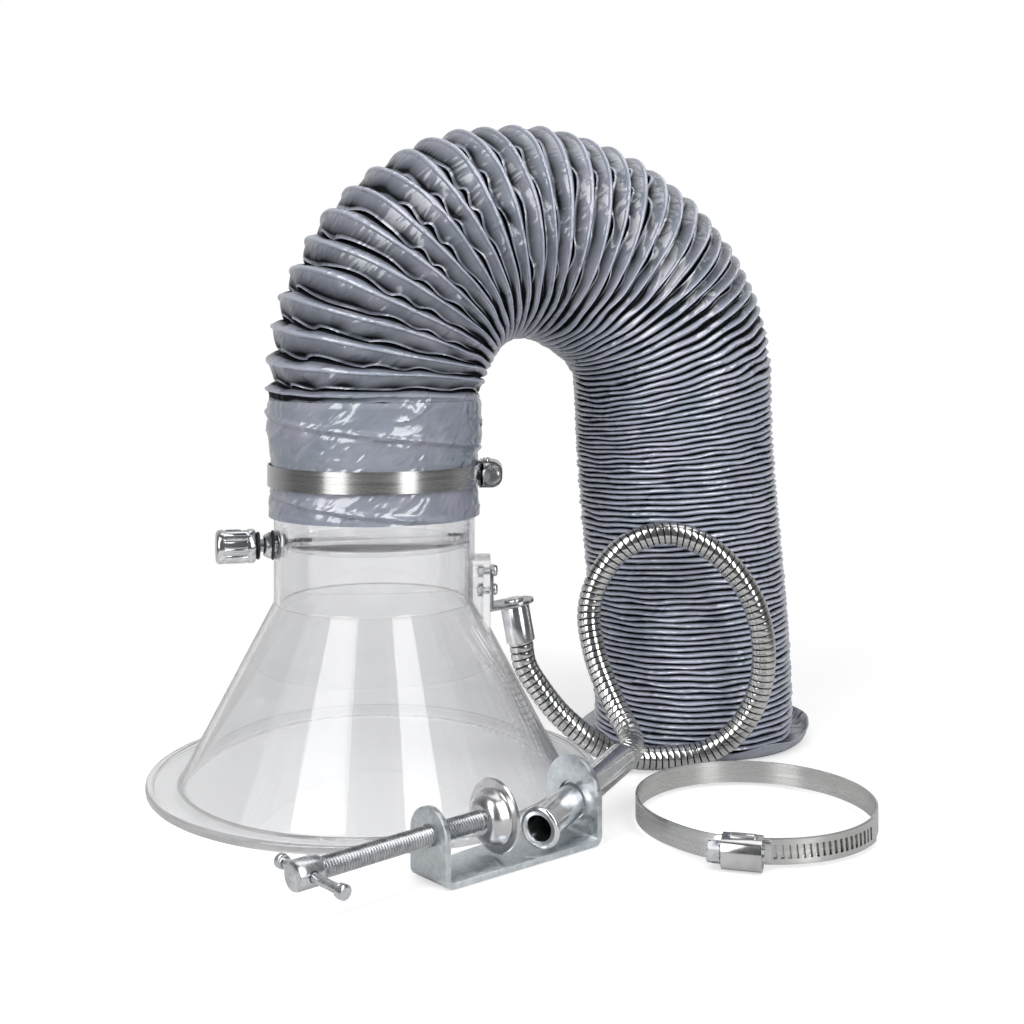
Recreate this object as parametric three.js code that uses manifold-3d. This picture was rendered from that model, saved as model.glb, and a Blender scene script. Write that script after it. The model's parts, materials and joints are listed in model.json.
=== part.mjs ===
// A bench fume extraction arm laid out on a table: a clear hood with a butterfly damper, a wire-helix duct
// hose held on the hood's neck by a worm-drive band, a stay-put gooseneck from the hood to a screw table
// clamp, and a spare band. Millimetres, +Z up, the table top at z = 0, +Y away from the viewer.
import * as THREE from "three";
import { mergeVertices } from "three/addons/utils/BufferGeometryUtils.js";
import Module from "manifold-3d";

const wasm = await Module();
wasm.setup();

// Clearances
const FIT = 0.3; // between pieces that seat on each other
const HOLE_FIT = 0.3; // round a screw or a shaft in its hole

// Hood
const RIM_DIAMETER = 214;
const FLANGE_WIDTH = 15.5;
const FLANGE_THICKNESS = 2.5;
const LIP_WIDTH = 3.5;
const LIP_HEIGHT = 4;
const CONE_HEIGHT = 85;
const NECK_DIAMETER = 96;
const NECK_LENGTH = 95;
const HOOD_WALL = 3;

// Butterfly damper
const DAMPER_ABOVE_CONE = 27.6;
const DAMPER_TURN = 15; // degrees from the hood's left towards the viewer
const DISC_THICKNESS = 2.4;
const DISC_CLEARANCE = 1.7;
const SHAFT_DIAMETER = 6;
const SHAFT_GRIP = 10; // how far the slotted shaft reaches over the disc
const PIVOT_DIAMETER = 5.4;
const PIVOT_GRIP = 7;
const RIVET_DIAMETER = 1.6;
const BUSHING_SLEEVE = 8;
const BUSHING_FLANGE = 12.5;
const BUSHING_LENGTH = 3.6;
const GASKET_DIAMETER = 14;
const GASKET_THICKNESS = 0.9;
const SHAFT_NUT_ACROSS = 11;
const SHAFT_NUT_THICKNESS = 2.2;
const KNOB_DIAMETER = 16;
const KNOB_LENGTH = 18.5;
const KNOB_GAP = 1.8; // bare thread between the bushing and the knob
const KNOB_COLLAR = 1.4;
const KNOB_FLUTES = 14;
const FLUTE_DEPTH = 0.6;

// Bracket for the arm, on the hood's right
const BRACKET_REACH = 7.5; // from the neck to the outside of the bracket's face
const BRACKET_WIDTH = 22;
const BRACKET_WALL = 3;
const BRACKET_TOP = 20; // above the cone
const HANGER_THICKNESS = 1.6;
const HANGER_WIDTH = 19;
const HANGER_HEIGHT = 20;
const HANGER_FOOT = -4.5; // the hanger's bend, measured from the top of the cone
const HANGER_TILT = 10; // degrees that the shelf rises outwards
const HANGER_SHELF = 11; // from the bend to the ferrule
const SCREW_DIAMETER = 3;
const SCREW_HEAD = 5.6;
const SCREW_HEAD_HEIGHT = 2;
const SCREW_NUT_ACROSS = 5.5;
const SCREW_NUT_THICKNESS = 2;
const SCREW_PITCH = 9; // between the two screws
const LOWER_SCREW = 4.6; // above the cone

// Gooseneck and its ferrules
const GOOSENECK_DIAMETER = 11.6;
const GOOSENECK_BORE = 7;
const GOOSENECK_RIBS = 101;
const GOOSENECK_GROOVE = 0.75;
const FERRULE_WALL = 0.8;
const FERRULE_SOCKET = 11;
const HOOD_FERRULE_LENGTH = 18;
const STUD_DIAMETER = 6;
const STUD_HEAD = 9.5;
const STUD_HEAD_HEIGHT = 1.6;
const TUBE_BORE = 10.4; // of the clamp's ferrule
const TUBE_LIP = 17.6;
const TUBE_LIP_LENGTH = 2.8;

// Duct hose
const CUFF_LENGTH = 55;
const CUFF_THICKNESS = 1.7;
const DUCT_DIAMETER = 105.6;
const DUCT_BORE = 88;
const RIB_PITCH_OPEN = 9.2;
const RIB_PITCH_CLOSED = 2.95;
const RIB_DEPTH = 0.5; // of the pitch
const DUCT_STRAIGHT = 6; // at each end of the duct
const ARCH_RISE = 78;
const ARCH_SWAY = 0.045; // of the span, how far the arch's top stands back towards the hood
const DUCT_LEG = new THREE.Vector2(152, 78); // where the far leg leaves the arch
const DUCT_LEAN = 11; // how far the leg's foot stands out
const SKIRT_DIAMETER = 123;
const SKIRT_THICKNESS = 1.4;
const SKIRT_HEIGHT = 8;

// Worm-drive bands
const BAND_WIDTH = 10;
const BAND_THICKNESS = 0.8;
const BAND_ABOVE_CUFF_FOOT = 14.5;
const BAND_TAIL = 75; // degrees past the housing
const BAND_SLOTS = 14;
const SLOT_WIDTH = 1.2;
const SLOT_LENGTH = 6.4;
const HOUSING_LENGTH = 16;
const HOUSING_WALL = 1;
const HOUSING_END = 1.3;
const WORM_DIAMETER = 7.6;
const WORM_JOURNAL = 5;
const WORM_THREADS = 4;
const WORM_HEAD_ACROSS = 8;
const WORM_HEAD_LENGTH = 5.5;
const WORM_SLOT = 1.2;
const SPARE_RADIUS = 51;
const SPARE_OFF_RIM = new THREE.Vector2(64.6, -66); // its middle, from the right-hand end of the hood's rim
const SPARE_TURN = -105; // degrees, the housing's place round the spare band

// Table clamp
const CLAMP_BEARING = -41.2; // degrees, the rear ear's place round the hood
const CLAMP_OFF_RIM = 16.68; // from the hood's rim to the outside of the rear ear
const CLAMP_TURN = 42; // degrees
const CLAMP_LENGTH = 80;
const CLAMP_PLATE = 2.5;
const CLAMP_BEND = 4;
const FRONT_EAR_WIDTH = 22;
const REAR_EAR_WIDTH = 31;
const SPINDLE_HEIGHT = 18.5;
const SPINDLE_DIAMETER = 8;
const SPINDLE_OUT = 50; // of thread outside the front ear
const SPINDLE_HEAD = 11.4;
const SPINDLE_HEAD_LENGTH = 12;
const SPINDLE_JOURNAL = 6;
const PAD_DIAMETER = 30;
const PAD_DOME = 21;
const PAD_DEPTH = 9;
const PAD_SHEET = 1.6;
const PAD_FROM_EAR = 26; // from the outside of the front ear to the back of the pad
const TOMMY_DIAMETER = 3.6;
const TOMMY_LENGTH = 38;
const TOMMY_SHIFT = -4;
const TOMMY_CAP = 5.6;
const TOMMY_CAP_LENGTH = 4;
const TUBE_HEIGHT = 15.5; // of the tube's hole in the rear ear
const TUBE_HOLE_FIT = 1.15; // the tube sits loose and askew in its hole
const TUBE_YAW = 20; // degrees off the clamp's own line
const TUBE_PITCH = 4.5;
const TUBE_INSIDE = 33; // from the rear ear to the lip
const TUBE_OUTSIDE = 50; // from the rear ear to the gooseneck

// The gooseneck's bends between its two ferrules: chosen points on its centre line, each with its distance
// out from the hood's side at that height, its place along Y and its height
const GOOSENECK_ROUTE = [
  [8.3, 0, 42],
  [11.0, 0, 31],
  [15.8, 0, 22],
  [21.8, 1, 14.5],
  [30.4, 3, 9],
  [40.7, 6, 6.6],
  [53.5, 8, 6.2],
  [69.3, 9, 7.8],
  [86.6, 9, 15],
  [103.1, 8, 27.3],
  [120.5, 6.5, 48],
  [132.0, 5, 73.7],
  [129.0, 5, 93],
  [113.0, 6, 109],
  [93.8, 7, 115.4],
  [74.0, 8, 109.5],
  [60.5, 9, 94],
  [51.3, 8, 77],
  [43.8, 3.5, 58],
  [41.4, -2, 44],
  [40.8, -9.5, 31.5],
  [41.1, -18.5, 23.5],
];

const DEGREE = Math.PI / 180;
const ROUND = 48; // sides of the hood and of what fits round it
const TURNED = 18; // sides of smaller turned pieces

// Materials
const finish = (color, roughness, metalness) =>
  new THREE.MeshStandardMaterial({ color, roughness, metalness });
const clear = (color) =>
  new THREE.MeshStandardMaterial({ color, roughness: 0.06, transparent: true, opacity: 0.4 });
const acrylic = clear(0xe9eef0);
const chrome = finish(0xd5d8dc, 0.12, 1);
const stainless = finish(0xb9bcbf, 0.25, 1);
const zinc = finish(0xa9b2bb, 0.38, 1);
const rubber = finish(0x1b1b1d, 0.7, 0);
const fabric = finish(0x75777e, 0.48, 0);

// Solids and cuts
function welded(geometry) {
  const bare = geometry.clone();
  bare.deleteAttribute("normal");
  bare.deleteAttribute("uv");
  return mergeVertices(bare);
}

function solid(geometry) {
  const mesh = welded(geometry);
  const vertProperties = mesh.attributes.position.array;
  const triVerts = new Uint32Array(mesh.index.array);
  return new wasm.Manifold(new wasm.Mesh({ numProp: 3, vertProperties, triVerts }));
}

function skin(positions, index) {
  const geometry = new THREE.BufferGeometry();
  geometry.setAttribute("position", new THREE.Float32BufferAttribute(positions, 3));
  geometry.setIndex(index);
  geometry.computeVertexNormals();
  return geometry;
}

function geometryOf(made) {
  const mesh = made.getMesh();
  return skin(Array.from(mesh.vertProperties), Array.from(mesh.triVerts));
}

function combine(way, first, ...others) {
  return geometryOf(others.reduce((made, other) => made[way](solid(other)), solid(first)));
}

const joined = (...pieces) => combine("add", ...pieces);
const cut = (...pieces) => combine("subtract", ...pieces);
const common = (...pieces) => combine("intersect", ...pieces);

// A profile of [radius, height] points turned about +Z, or about +X with its heights along X.
const turned = (profile, sides = TURNED) =>
  new THREE.LatheGeometry(profile.map(([r, h]) => new THREE.Vector2(r, h)), sides).rotateX(90 * DEGREE);
const turnedAlongX = (profile, sides) => turned(profile, sides).rotateY(90 * DEGREE);
const ring = (profile) => [...profile, profile[0]];

// A round bar of the given diameter from one height to another.
const bar = (diameter, from, to, sides) =>
  turned([[0, from], [diameter / 2, from], [diameter / 2, to], [0, to]], sides);
const barAlongX = (diameter, from, to, sides) => bar(diameter, from, to, sides).rotateY(90 * DEGREE);
const barAlongY = (diameter, from, to, sides) => bar(diameter, from, to, sides).rotateX(-90 * DEGREE);

// A six-sided prism, its flats the given distance apart.
const hexBarAlongX = (across, from, to) => barAlongX(across / Math.cos(30 * DEGREE), from, to, 6);

const block = (x, y, z) => new THREE.BoxGeometry(x[1] - x[0], y[1] - y[0], z[1] - z[0])
  .translate((x[0] + x[1]) / 2, (y[0] + y[1]) / 2, (z[0] + z[1]) / 2);

// A flat outline pushed out into a plate: lying (x, y), facing +X (y, z), or seen from the side (x, z).
const lying = (shape, depth, curveSegments = 6) =>
  new THREE.ExtrudeGeometry(shape, { depth, bevelEnabled: false, curveSegments });
const X = new THREE.Vector3(1, 0, 0);
const Y = new THREE.Vector3(0, 1, 0);
const Z = new THREE.Vector3(0, 0, 1);
const facingX = (shape, depth) =>
  lying(shape, depth).applyMatrix4(new THREE.Matrix4().makeBasis(Y, Z, X));
const seenFromSide = (shape, depth, curveSegments) => lying(shape, depth, curveSegments)
  .applyMatrix4(new THREE.Matrix4().makeBasis(X, Z, Y.clone().negate()))
  .translate(0, depth / 2, 0);

// A closed skin through rings of equally many points, each joined to the next and the last to the first.
function throughRings(rings) {
  const count = rings[0].length;
  const index = [];
  rings.forEach((_, number) => {
    const here = number * count;
    const next = ((number + 1) % rings.length) * count;
    for (let k = 0; k < count; k += 1) {
      const beside = (k + 1) % count;
      index.push(here + k, here + beside, next + k, here + beside, next + beside, next + k);
    }
  });
  return skin(rings.flat().flatMap((point) => point.toArray()), index);
}

// A ring of points round a centre, in the plane of two unit vectors.
function ringAround({ centre, across, up }, radius, count) {
  return Array.from({ length: count }, (_, k) => {
    const angle = (2 * Math.PI * k) / count;
    return centre.clone()
      .addScaledVector(across, radius * Math.cos(angle))
      .addScaledVector(up, radius * Math.sin(angle));
  });
}

// Groups and named meshes
const assembly = new THREE.Group();

function group(parent, place, turn = 0) {
  const made = new THREE.Group();
  made.position.copy(place);
  made.rotation.z = turn * DEGREE;
  parent.add(made);
  return made;
}

function add(parent, name, geometry, material) {
  const mesh = new THREE.Mesh(geometry, material);
  mesh.name = name;
  parent.add(mesh);
  return mesh;
}

// Values worked out from the sizes above
const neckRadius = NECK_DIAMETER / 2;
const boreRadius = neckRadius - HOOD_WALL;
const rimRadius = RIM_DIAMETER / 2;
const coneFoot = rimRadius - FLANGE_WIDTH;
const hoodTop = CONE_HEIGHT + NECK_LENGTH;
const damperHeight = CONE_HEIGHT + DAMPER_ABOVE_CONE;
const cuffRadius = neckRadius + FIT + CUFF_THICKNESS;
const cuffTop = hoodTop + 1;
const cuffFoot = cuffTop - CUFF_LENGTH;

// Hood: a formed cone with a flat flange and a rolled lip, and the neck tube bonded on its top
const hood = group(assembly, new THREE.Vector3());

function hoodSide(height) {
  const rise = (height - FLANGE_THICKNESS) / (CONE_HEIGHT - FLANGE_THICKNESS);
  return THREE.MathUtils.lerp(coneFoot, neckRadius, THREE.MathUtils.clamp(rise, 0, 1));
}

function coneProfile() {
  return ring([
    [coneFoot - HOOD_WALL, 0],
    [rimRadius - 0.6, 0],
    [rimRadius, LIP_HEIGHT / 2],
    [rimRadius - LIP_WIDTH / 4, LIP_HEIGHT],
    [rimRadius - LIP_WIDTH, LIP_HEIGHT],
    [rimRadius - LIP_WIDTH, FLANGE_THICKNESS],
    [coneFoot, FLANGE_THICKNESS],
    [neckRadius, CONE_HEIGHT],
    [boreRadius, CONE_HEIGHT],
  ]);
}

add(hood, "hood_cone", turned(coneProfile(), ROUND), acrylic);

const damperFrame = new THREE.Matrix4()
  .makeRotationZ((180 + DAMPER_TURN) * DEGREE)
  .setPosition(0, 0, damperHeight);

function neckTube() {
  const tube = turned(ring([
    [boreRadius, CONE_HEIGHT],
    [neckRadius, CONE_HEIGHT],
    [neckRadius, hoodTop],
    [boreRadius, hoodTop],
  ]), ROUND);
  const shaftHole = barAlongX(BUSHING_SLEEVE + 2 * HOLE_FIT, 0, 2 * neckRadius).applyMatrix4(damperFrame);
  const pivotHole = barAlongX(PIVOT_DIAMETER + 2 * HOLE_FIT, -2 * neckRadius, 0)
    .applyMatrix4(damperFrame);
  return cut(tube, shaftHole, pivotHole);
}

add(hood, "hood_neck", neckTube(), acrylic);

// Butterfly damper, in a frame whose X runs from the neck's axis out to the knob
const damper = group(assembly, new THREE.Vector3(0, 0, damperHeight), 180 + DAMPER_TURN);
const discRadius = boreRadius - DISC_CLEARANCE;
const slotWidth = DISC_THICKNESS + 2 * FIT;
const nutCorner = SHAFT_NUT_ACROSS / 2 / Math.cos(30 * DEGREE);
const nutOuter = Math.sqrt(boreRadius ** 2 - nutCorner ** 2) - FIT;
const nutInner = nutOuter - SHAFT_NUT_THICKNESS;
const notchEdge = nutInner - 2;
const gasketFoot = neckRadius + FIT;
const bushingFoot = gasketFoot + GASKET_THICKNESS + FIT;
const bushingEnd = bushingFoot + BUSHING_LENGTH;
const collarFoot = bushingEnd + KNOB_GAP;
const knobFoot = collarFoot + KNOB_COLLAR + FIT;
const knobEnd = knobFoot + KNOB_LENGTH;
const shaftEnd = knobFoot + KNOB_LENGTH * 0.6;
const shaftTip = notchEdge - SHAFT_GRIP;
const pivotTip = discRadius - PIVOT_GRIP;
const pivotEnd = neckRadius + 0.6;
const shaftRivetAt = notchEdge - SHAFT_GRIP / 2;
const pivotRivetAt = -(discRadius - PIVOT_GRIP / 2);

const rivetHole = (at) =>
  bar(RIVET_DIAMETER + 2 * FIT, -SHAFT_DIAMETER, SHAFT_DIAMETER, 12).translate(at, 0, 0);

// A stub along X whose end is slotted to take the edge of the disc.
function slottedStub(diameter, from, to, slot, rivetAt) {
  const reach = diameter;
  const mouth = block(slot, [-reach, reach], [-slotWidth / 2, slotWidth / 2]);
  return cut(barAlongX(diameter, from, to), mouth, rivetHole(rivetAt));
}

function damperDisc() {
  const half = DISC_THICKNESS / 2;
  const plate = bar(2 * discRadius, -half, half, ROUND);
  const notchHalf = nutCorner + 1.2;
  const notch = block(
    [notchEdge, discRadius + 1], [-notchHalf, notchHalf], [-DISC_THICKNESS, DISC_THICKNESS]);
  return cut(plate, notch, rivetHole(shaftRivetAt), rivetHole(pivotRivetAt));
}

// Smooth at both ends and fluted between, with a blind hole for the shaft.
function damperKnob() {
  const radius = KNOB_DIAMETER / 2;
  const flutedFrom = knobFoot + KNOB_LENGTH * 0.24;
  const flutedTo = knobFoot + KNOB_LENGTH * 0.78;
  const body = turnedAlongX([
    [0, knobFoot],
    [radius - 0.8, knobFoot],
    [radius, knobFoot + 0.8],
    [radius, knobEnd - 1.2],
    [radius - 1.2, knobEnd],
    [0, knobEnd],
  ], 28);
  const flutes = Array.from({ length: KNOB_FLUTES }, (_, k) =>
    block([flutedFrom, flutedTo], [-0.55, 0.55], [radius - FLUTE_DEPTH, radius + 1])
      .rotateX((2 * Math.PI * k) / KNOB_FLUTES));
  const hole = barAlongX(SHAFT_DIAMETER + 2 * HOLE_FIT, knobFoot - 1, shaftEnd + FIT);
  return cut(body, hole, ...flutes);
}

function shaftBushing() {
  const bore = SHAFT_DIAMETER / 2 + HOLE_FIT;
  const sleeve = BUSHING_SLEEVE / 2;
  const flange = BUSHING_FLANGE / 2;
  return turnedAlongX(ring([
    [bore, nutInner - 0.6],
    [sleeve, nutInner - 0.6],
    [sleeve, bushingFoot],
    [flange, bushingFoot],
    [flange, bushingFoot + BUSHING_LENGTH * 0.35],
    [sleeve + 0.6, bushingEnd],
    [bore, bushingEnd],
  ]));
}

const sleeveHole = BUSHING_SLEEVE + 2 * HOLE_FIT;
const washerAlongX = (outside, hole, from, to, sides) =>
  cut(barAlongX(outside, from, to, sides), barAlongX(hole, from - 1, to + 1));

add(damper, "shaft_bushing", shaftBushing(), chrome);
add(damper, "shaft_gasket",
  washerAlongX(GASKET_DIAMETER, sleeveHole, gasketFoot, gasketFoot + GASKET_THICKNESS), rubber);
add(damper, "shaft_nut",
  cut(hexBarAlongX(SHAFT_NUT_ACROSS, nutInner, nutOuter), barAlongX(sleeveHole, nutInner - 1, nutOuter + 1)),
  chrome);
add(damper, "damper_shaft",
  slottedStub(SHAFT_DIAMETER, shaftTip, shaftEnd, [shaftTip - 1, notchEdge + FIT], shaftRivetAt), stainless);
add(damper, "damper_pivot",
  slottedStub(PIVOT_DIAMETER, -pivotEnd, -pivotTip, [-discRadius - FIT, 1 - pivotTip], pivotRivetAt),
  stainless);
add(damper, "damper_disc", damperDisc(), acrylic);
add(damper, "damper_knob", damperKnob(), chrome);
add(damper, "knob_collar",
  washerAlongX(KNOB_DIAMETER - 3, SHAFT_DIAMETER + 2 * HOLE_FIT, collarFoot, collarFoot + KNOB_COLLAR),
  rubber);
[["shaft_rivet", shaftRivetAt, SHAFT_DIAMETER], ["pivot_rivet", pivotRivetAt, PIVOT_DIAMETER]].forEach(
  ([name, at, length]) =>
    add(damper, name, bar(RIVET_DIAMETER, -length / 2, length / 2, 12).translate(at, 0, 0), stainless));

// Clear box bracket on the hood's right, open below, with its face upright
const bracketFace = neckRadius + BRACKET_REACH;
const bracketTop = CONE_HEIGHT + BRACKET_TOP;
const screwHeights = [LOWER_SCREW, LOWER_SCREW + SCREW_PITCH].map((height) => CONE_HEIGHT + height);

// The hood's outside, grown by the fit, so that the bracket follows it.
function hoodOutside() {
  return turned([
    [0, -1],
    [rimRadius, -1],
    [coneFoot + FIT, FLANGE_THICKNESS],
    [neckRadius + FIT, CONE_HEIGHT + FIT],
    [neckRadius + FIT, hoodTop],
    [0, hoodTop],
  ], ROUND);
}

function hoodBracket() {
  const half = BRACKET_WIDTH / 2;
  const hollow = half - BRACKET_WALL;
  const box = block([0, bracketFace], [-half, half], [FLANGE_THICKNESS, bracketTop]);
  const inside = block([-1, bracketFace - BRACKET_WALL], [-hollow, hollow], [0, bracketTop - BRACKET_WALL]);
  const holes = screwHeights.map((height) =>
    barAlongX(SCREW_DIAMETER + 2 * HOLE_FIT, neckRadius, bracketFace + 1, 16).translate(0, 0, height));
  return cut(box, hoodOutside(), inside, ...holes);
}

add(hood, "hood_bracket", hoodBracket(), acrylic);

// Bent steel hanger: an upright leg under the two screws and a shelf with a round end that carries the arm
const hangerFoot = CONE_HEIGHT + HANGER_FOOT;
const hangerFace = bracketFace + HANGER_THICKNESS;

function hangerLeg() {
  const half = HANGER_WIDTH / 2;
  const corner = 3;
  const shape = new THREE.Shape();
  shape.moveTo(-half, 0);
  shape.lineTo(half, 0);
  shape.lineTo(half, HANGER_HEIGHT - corner);
  shape.absarc(half - corner, HANGER_HEIGHT - corner, corner, 0, 90 * DEGREE);
  shape.absarc(corner - half, HANGER_HEIGHT - corner, corner, 90 * DEGREE, 180 * DEGREE);
  shape.closePath();
  return facingX(shape, HANGER_THICKNESS).translate(bracketFace, 0, hangerFoot);
}

function hangerShelf() {
  const half = HANGER_WIDTH / 2;
  const shape = new THREE.Shape();
  shape.moveTo(0, -half);
  shape.lineTo(HANGER_SHELF, -half);
  shape.absarc(HANGER_SHELF, 0, half, -90 * DEGREE, 90 * DEGREE);
  shape.lineTo(0, half);
  shape.closePath();
  const hole = new THREE.Path();
  hole.absarc(HANGER_SHELF, 0, STUD_DIAMETER / 2 + HOLE_FIT, 0, 360 * DEGREE);
  shape.holes.push(hole);
  return lying(shape, HANGER_THICKNESS).applyMatrix4(shelfFrame);
}

const shelfFrame = new THREE.Matrix4()
  .makeRotationY(-HANGER_TILT * DEGREE)
  .setPosition(bracketFace + HANGER_THICKNESS / 2, 0, hangerFoot);

function armHanger() {
  const holes = screwHeights.map((height) =>
    barAlongX(SCREW_DIAMETER + 2 * HOLE_FIT, bracketFace - 1, hangerFace + 1, 16).translate(0, 0, height));
  const reach = 9;
  const inside = block(
    [bracketFace - reach, bracketFace], [-HANGER_WIDTH, HANGER_WIDTH], [hangerFoot - reach, bracketTop]);
  return cut(joined(hangerLeg(), hangerShelf()), inside, ...holes);
}

add(hood, "arm_hanger", armHanger(), stainless);

// Pan-head screw from the outside, its nut inside the hollow bracket
function panScrew() {
  const shank = SCREW_DIAMETER / 2;
  const head = SCREW_HEAD / 2;
  const foot = hangerFace + FIT;
  return turnedAlongX([
    [0, screwTip],
    [shank, screwTip],
    [shank, foot],
    [head, foot],
    [head, foot + SCREW_HEAD_HEIGHT * 0.5],
    [head * 0.6, foot + SCREW_HEAD_HEIGHT],
    [0, foot + SCREW_HEAD_HEIGHT],
  ], 16);
}

const screwNutEnd = bracketFace - BRACKET_WALL - FIT;
const screwNutFoot = screwNutEnd - SCREW_NUT_THICKNESS;
const screwTip = screwNutFoot - 0.5;

screwHeights.forEach((height, number) => {
  const nutHole = barAlongX(SCREW_DIAMETER + 2 * HOLE_FIT, screwNutFoot - 1, screwNutEnd + 1, 16);
  const nut = cut(hexBarAlongX(SCREW_NUT_ACROSS, screwNutFoot, screwNutEnd), nutHole);
  add(hood, `bracket_screw_${number + 1}`, panScrew().translate(0, 0, height), chrome);
  add(hood, `bracket_nut_${number + 1}`, nut.translate(0, 0, height), stainless);
});

// Table clamp: a bent plate with two ears, in a frame whose X runs from the front ear to the rear one
const clampLine = new THREE.Vector3(1, 0, 0).applyAxisAngle(Z, CLAMP_TURN * DEGREE);
const rearEarPlace = new THREE.Vector3(rimRadius + CLAMP_OFF_RIM, 0, 0)
  .applyAxisAngle(Z, CLAMP_BEARING * DEGREE);
const clamp = group(assembly, rearEarPlace.clone().addScaledVector(clampLine, -CLAMP_LENGTH), CLAMP_TURN);
const clampInside = CLAMP_LENGTH - CLAMP_PLATE;
const tubeRadius = GOOSENECK_DIAMETER / 2 + FIT + FERRULE_WALL;

// The bent strip seen from the side: up the front ear, along the base and up the rear ear.
function bentStrip(height) {
  const outer = CLAMP_BEND;
  const inner = CLAMP_BEND - CLAMP_PLATE;
  const shape = new THREE.Shape();
  shape.moveTo(0, height);
  shape.lineTo(0, outer);
  shape.absarc(outer, outer, outer, 180 * DEGREE, 270 * DEGREE);
  shape.lineTo(CLAMP_LENGTH - outer, 0);
  shape.absarc(CLAMP_LENGTH - outer, outer, outer, 270 * DEGREE, 360 * DEGREE);
  shape.lineTo(CLAMP_LENGTH, height);
  shape.lineTo(clampInside, height);
  shape.absarc(CLAMP_LENGTH - outer, outer, inner, 0, -90 * DEGREE, true);
  shape.lineTo(outer, CLAMP_PLATE);
  shape.absarc(outer, outer, inner, -90 * DEGREE, -180 * DEGREE, true);
  shape.lineTo(CLAMP_PLATE, height);
  shape.closePath();
  return seenFromSide(shape, 2 * REAR_EAR_WIDTH);
}

// The outline of an ear seen along the clamp, with its round top about a height.
function earMask(width, centre, from, to) {
  const half = width / 2;
  const shape = new THREE.Shape();
  shape.moveTo(-half, -1);
  shape.lineTo(half, -1);
  shape.lineTo(half, centre);
  shape.absarc(0, centre, half, 0, 180 * DEGREE);
  shape.closePath();
  return facingX(shape, to - from).translate(from, 0, 0);
}

function basePlan() {
  const front = FRONT_EAR_WIDTH / 2;
  const rear = REAR_EAR_WIDTH / 2;
  const shape = new THREE.Shape();
  shape.moveTo(-1, -front);
  shape.lineTo(CLAMP_PLATE, -front);
  shape.lineTo(clampInside, -rear);
  shape.lineTo(CLAMP_LENGTH + 1, -rear);
  shape.lineTo(CLAMP_LENGTH + 1, rear);
  shape.lineTo(clampInside, rear);
  shape.lineTo(CLAMP_PLATE, front);
  shape.lineTo(-1, front);
  shape.closePath();
  return lying(shape, 4 * SPINDLE_HEIGHT).translate(0, 0, -1);
}

function clampBracket() {
  const tall = SPINDLE_HEIGHT + REAR_EAR_WIDTH;
  const ears = joined(
    earMask(FRONT_EAR_WIDTH, SPINDLE_HEIGHT, -1, CLAMP_BEND + 1),
    block(
      [CLAMP_BEND, CLAMP_LENGTH - CLAMP_BEND], [-REAR_EAR_WIDTH, REAR_EAR_WIDTH], [-1, 2 * CLAMP_PLATE]),
    earMask(REAR_EAR_WIDTH, SPINDLE_HEIGHT, CLAMP_LENGTH - CLAMP_BEND - 1, CLAMP_LENGTH + 1),
  );
  const spindleHole = barAlongX(SPINDLE_DIAMETER + 2 * HOLE_FIT, -1, CLAMP_BEND)
    .translate(0, 0, SPINDLE_HEIGHT);
  const tubeHole = barAlongX(2 * (tubeRadius + TUBE_HOLE_FIT), clampInside - 1, CLAMP_LENGTH + 1)
    .translate(0, 0, TUBE_HEIGHT);
  return cut(common(bentStrip(tall), basePlan(), ears), spindleHole, tubeHole);
}

add(clamp, "clamp_bracket", clampBracket(), zinc);

// Screw spindle with its pressed pad and tommy bar
const spindle = group(clamp, new THREE.Vector3(0, 0, SPINDLE_HEIGHT));
const headEnd = -SPINDLE_OUT - SPINDLE_HEAD_LENGTH;
const tommyAt = headEnd + SPINDLE_HEAD_LENGTH / 2;
const padFace = PAD_FROM_EAR + PAD_DEPTH;
const journal = SPINDLE_JOURNAL / 2;

function clampSpindle() {
  const thread = SPINDLE_DIAMETER / 2;
  const head = SPINDLE_HEAD / 2;
  const shoulder = PAD_FROM_EAR - FIT;
  const rivet = PAD_FROM_EAR + PAD_SHEET + FIT;
  const body = turnedAlongX([
    [0, headEnd],
    [head - 1, headEnd],
    [head, headEnd + 1],
    [head, -SPINDLE_OUT - 1],
    [head - 1, -SPINDLE_OUT],
    [thread, -SPINDLE_OUT],
    [thread, shoulder],
    [journal, shoulder],
    [journal, rivet],
    [journal + 1.6, rivet],
    [journal + 1, rivet + 1.4],
    [0, rivet + 1.4],
  ]);
  const tommyHole = barAlongY(TOMMY_DIAMETER + 2 * HOLE_FIT, -SPINDLE_HEAD, SPINDLE_HEAD, 16);
  return cut(body, tommyHole.translate(tommyAt, 0, 0));
}

// A pressed dish: a crown round the spindle's end, a cone and a flat ring that meets the table.
function padDish() {
  const hole = journal + HOLE_FIT;
  const crown = PAD_DOME / 2;
  const edge = PAD_DIAMETER / 2;
  return turnedAlongX(ring([
    [hole, PAD_FROM_EAR],
    [crown * 0.62, PAD_FROM_EAR],
    [crown, PAD_FROM_EAR + PAD_DEPTH * 0.45],
    [crown + 0.6, padFace - PAD_SHEET],
    [edge, padFace - PAD_SHEET],
    [edge, padFace],
    [crown - PAD_SHEET + 0.6, padFace],
    [crown - PAD_SHEET, PAD_FROM_EAR + PAD_DEPTH * 0.55],
    [crown * 0.62 - 0.5, PAD_FROM_EAR + PAD_SHEET],
    [hole, PAD_FROM_EAR + PAD_SHEET],
  ]));
}

add(spindle, "clamp_spindle", clampSpindle(), zinc);
add(spindle, "pad_dish", padDish(), zinc);

const tommy = group(spindle, new THREE.Vector3(tommyAt, TOMMY_SHIFT, 0));
const tommyEnd = TOMMY_LENGTH / 2;

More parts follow.
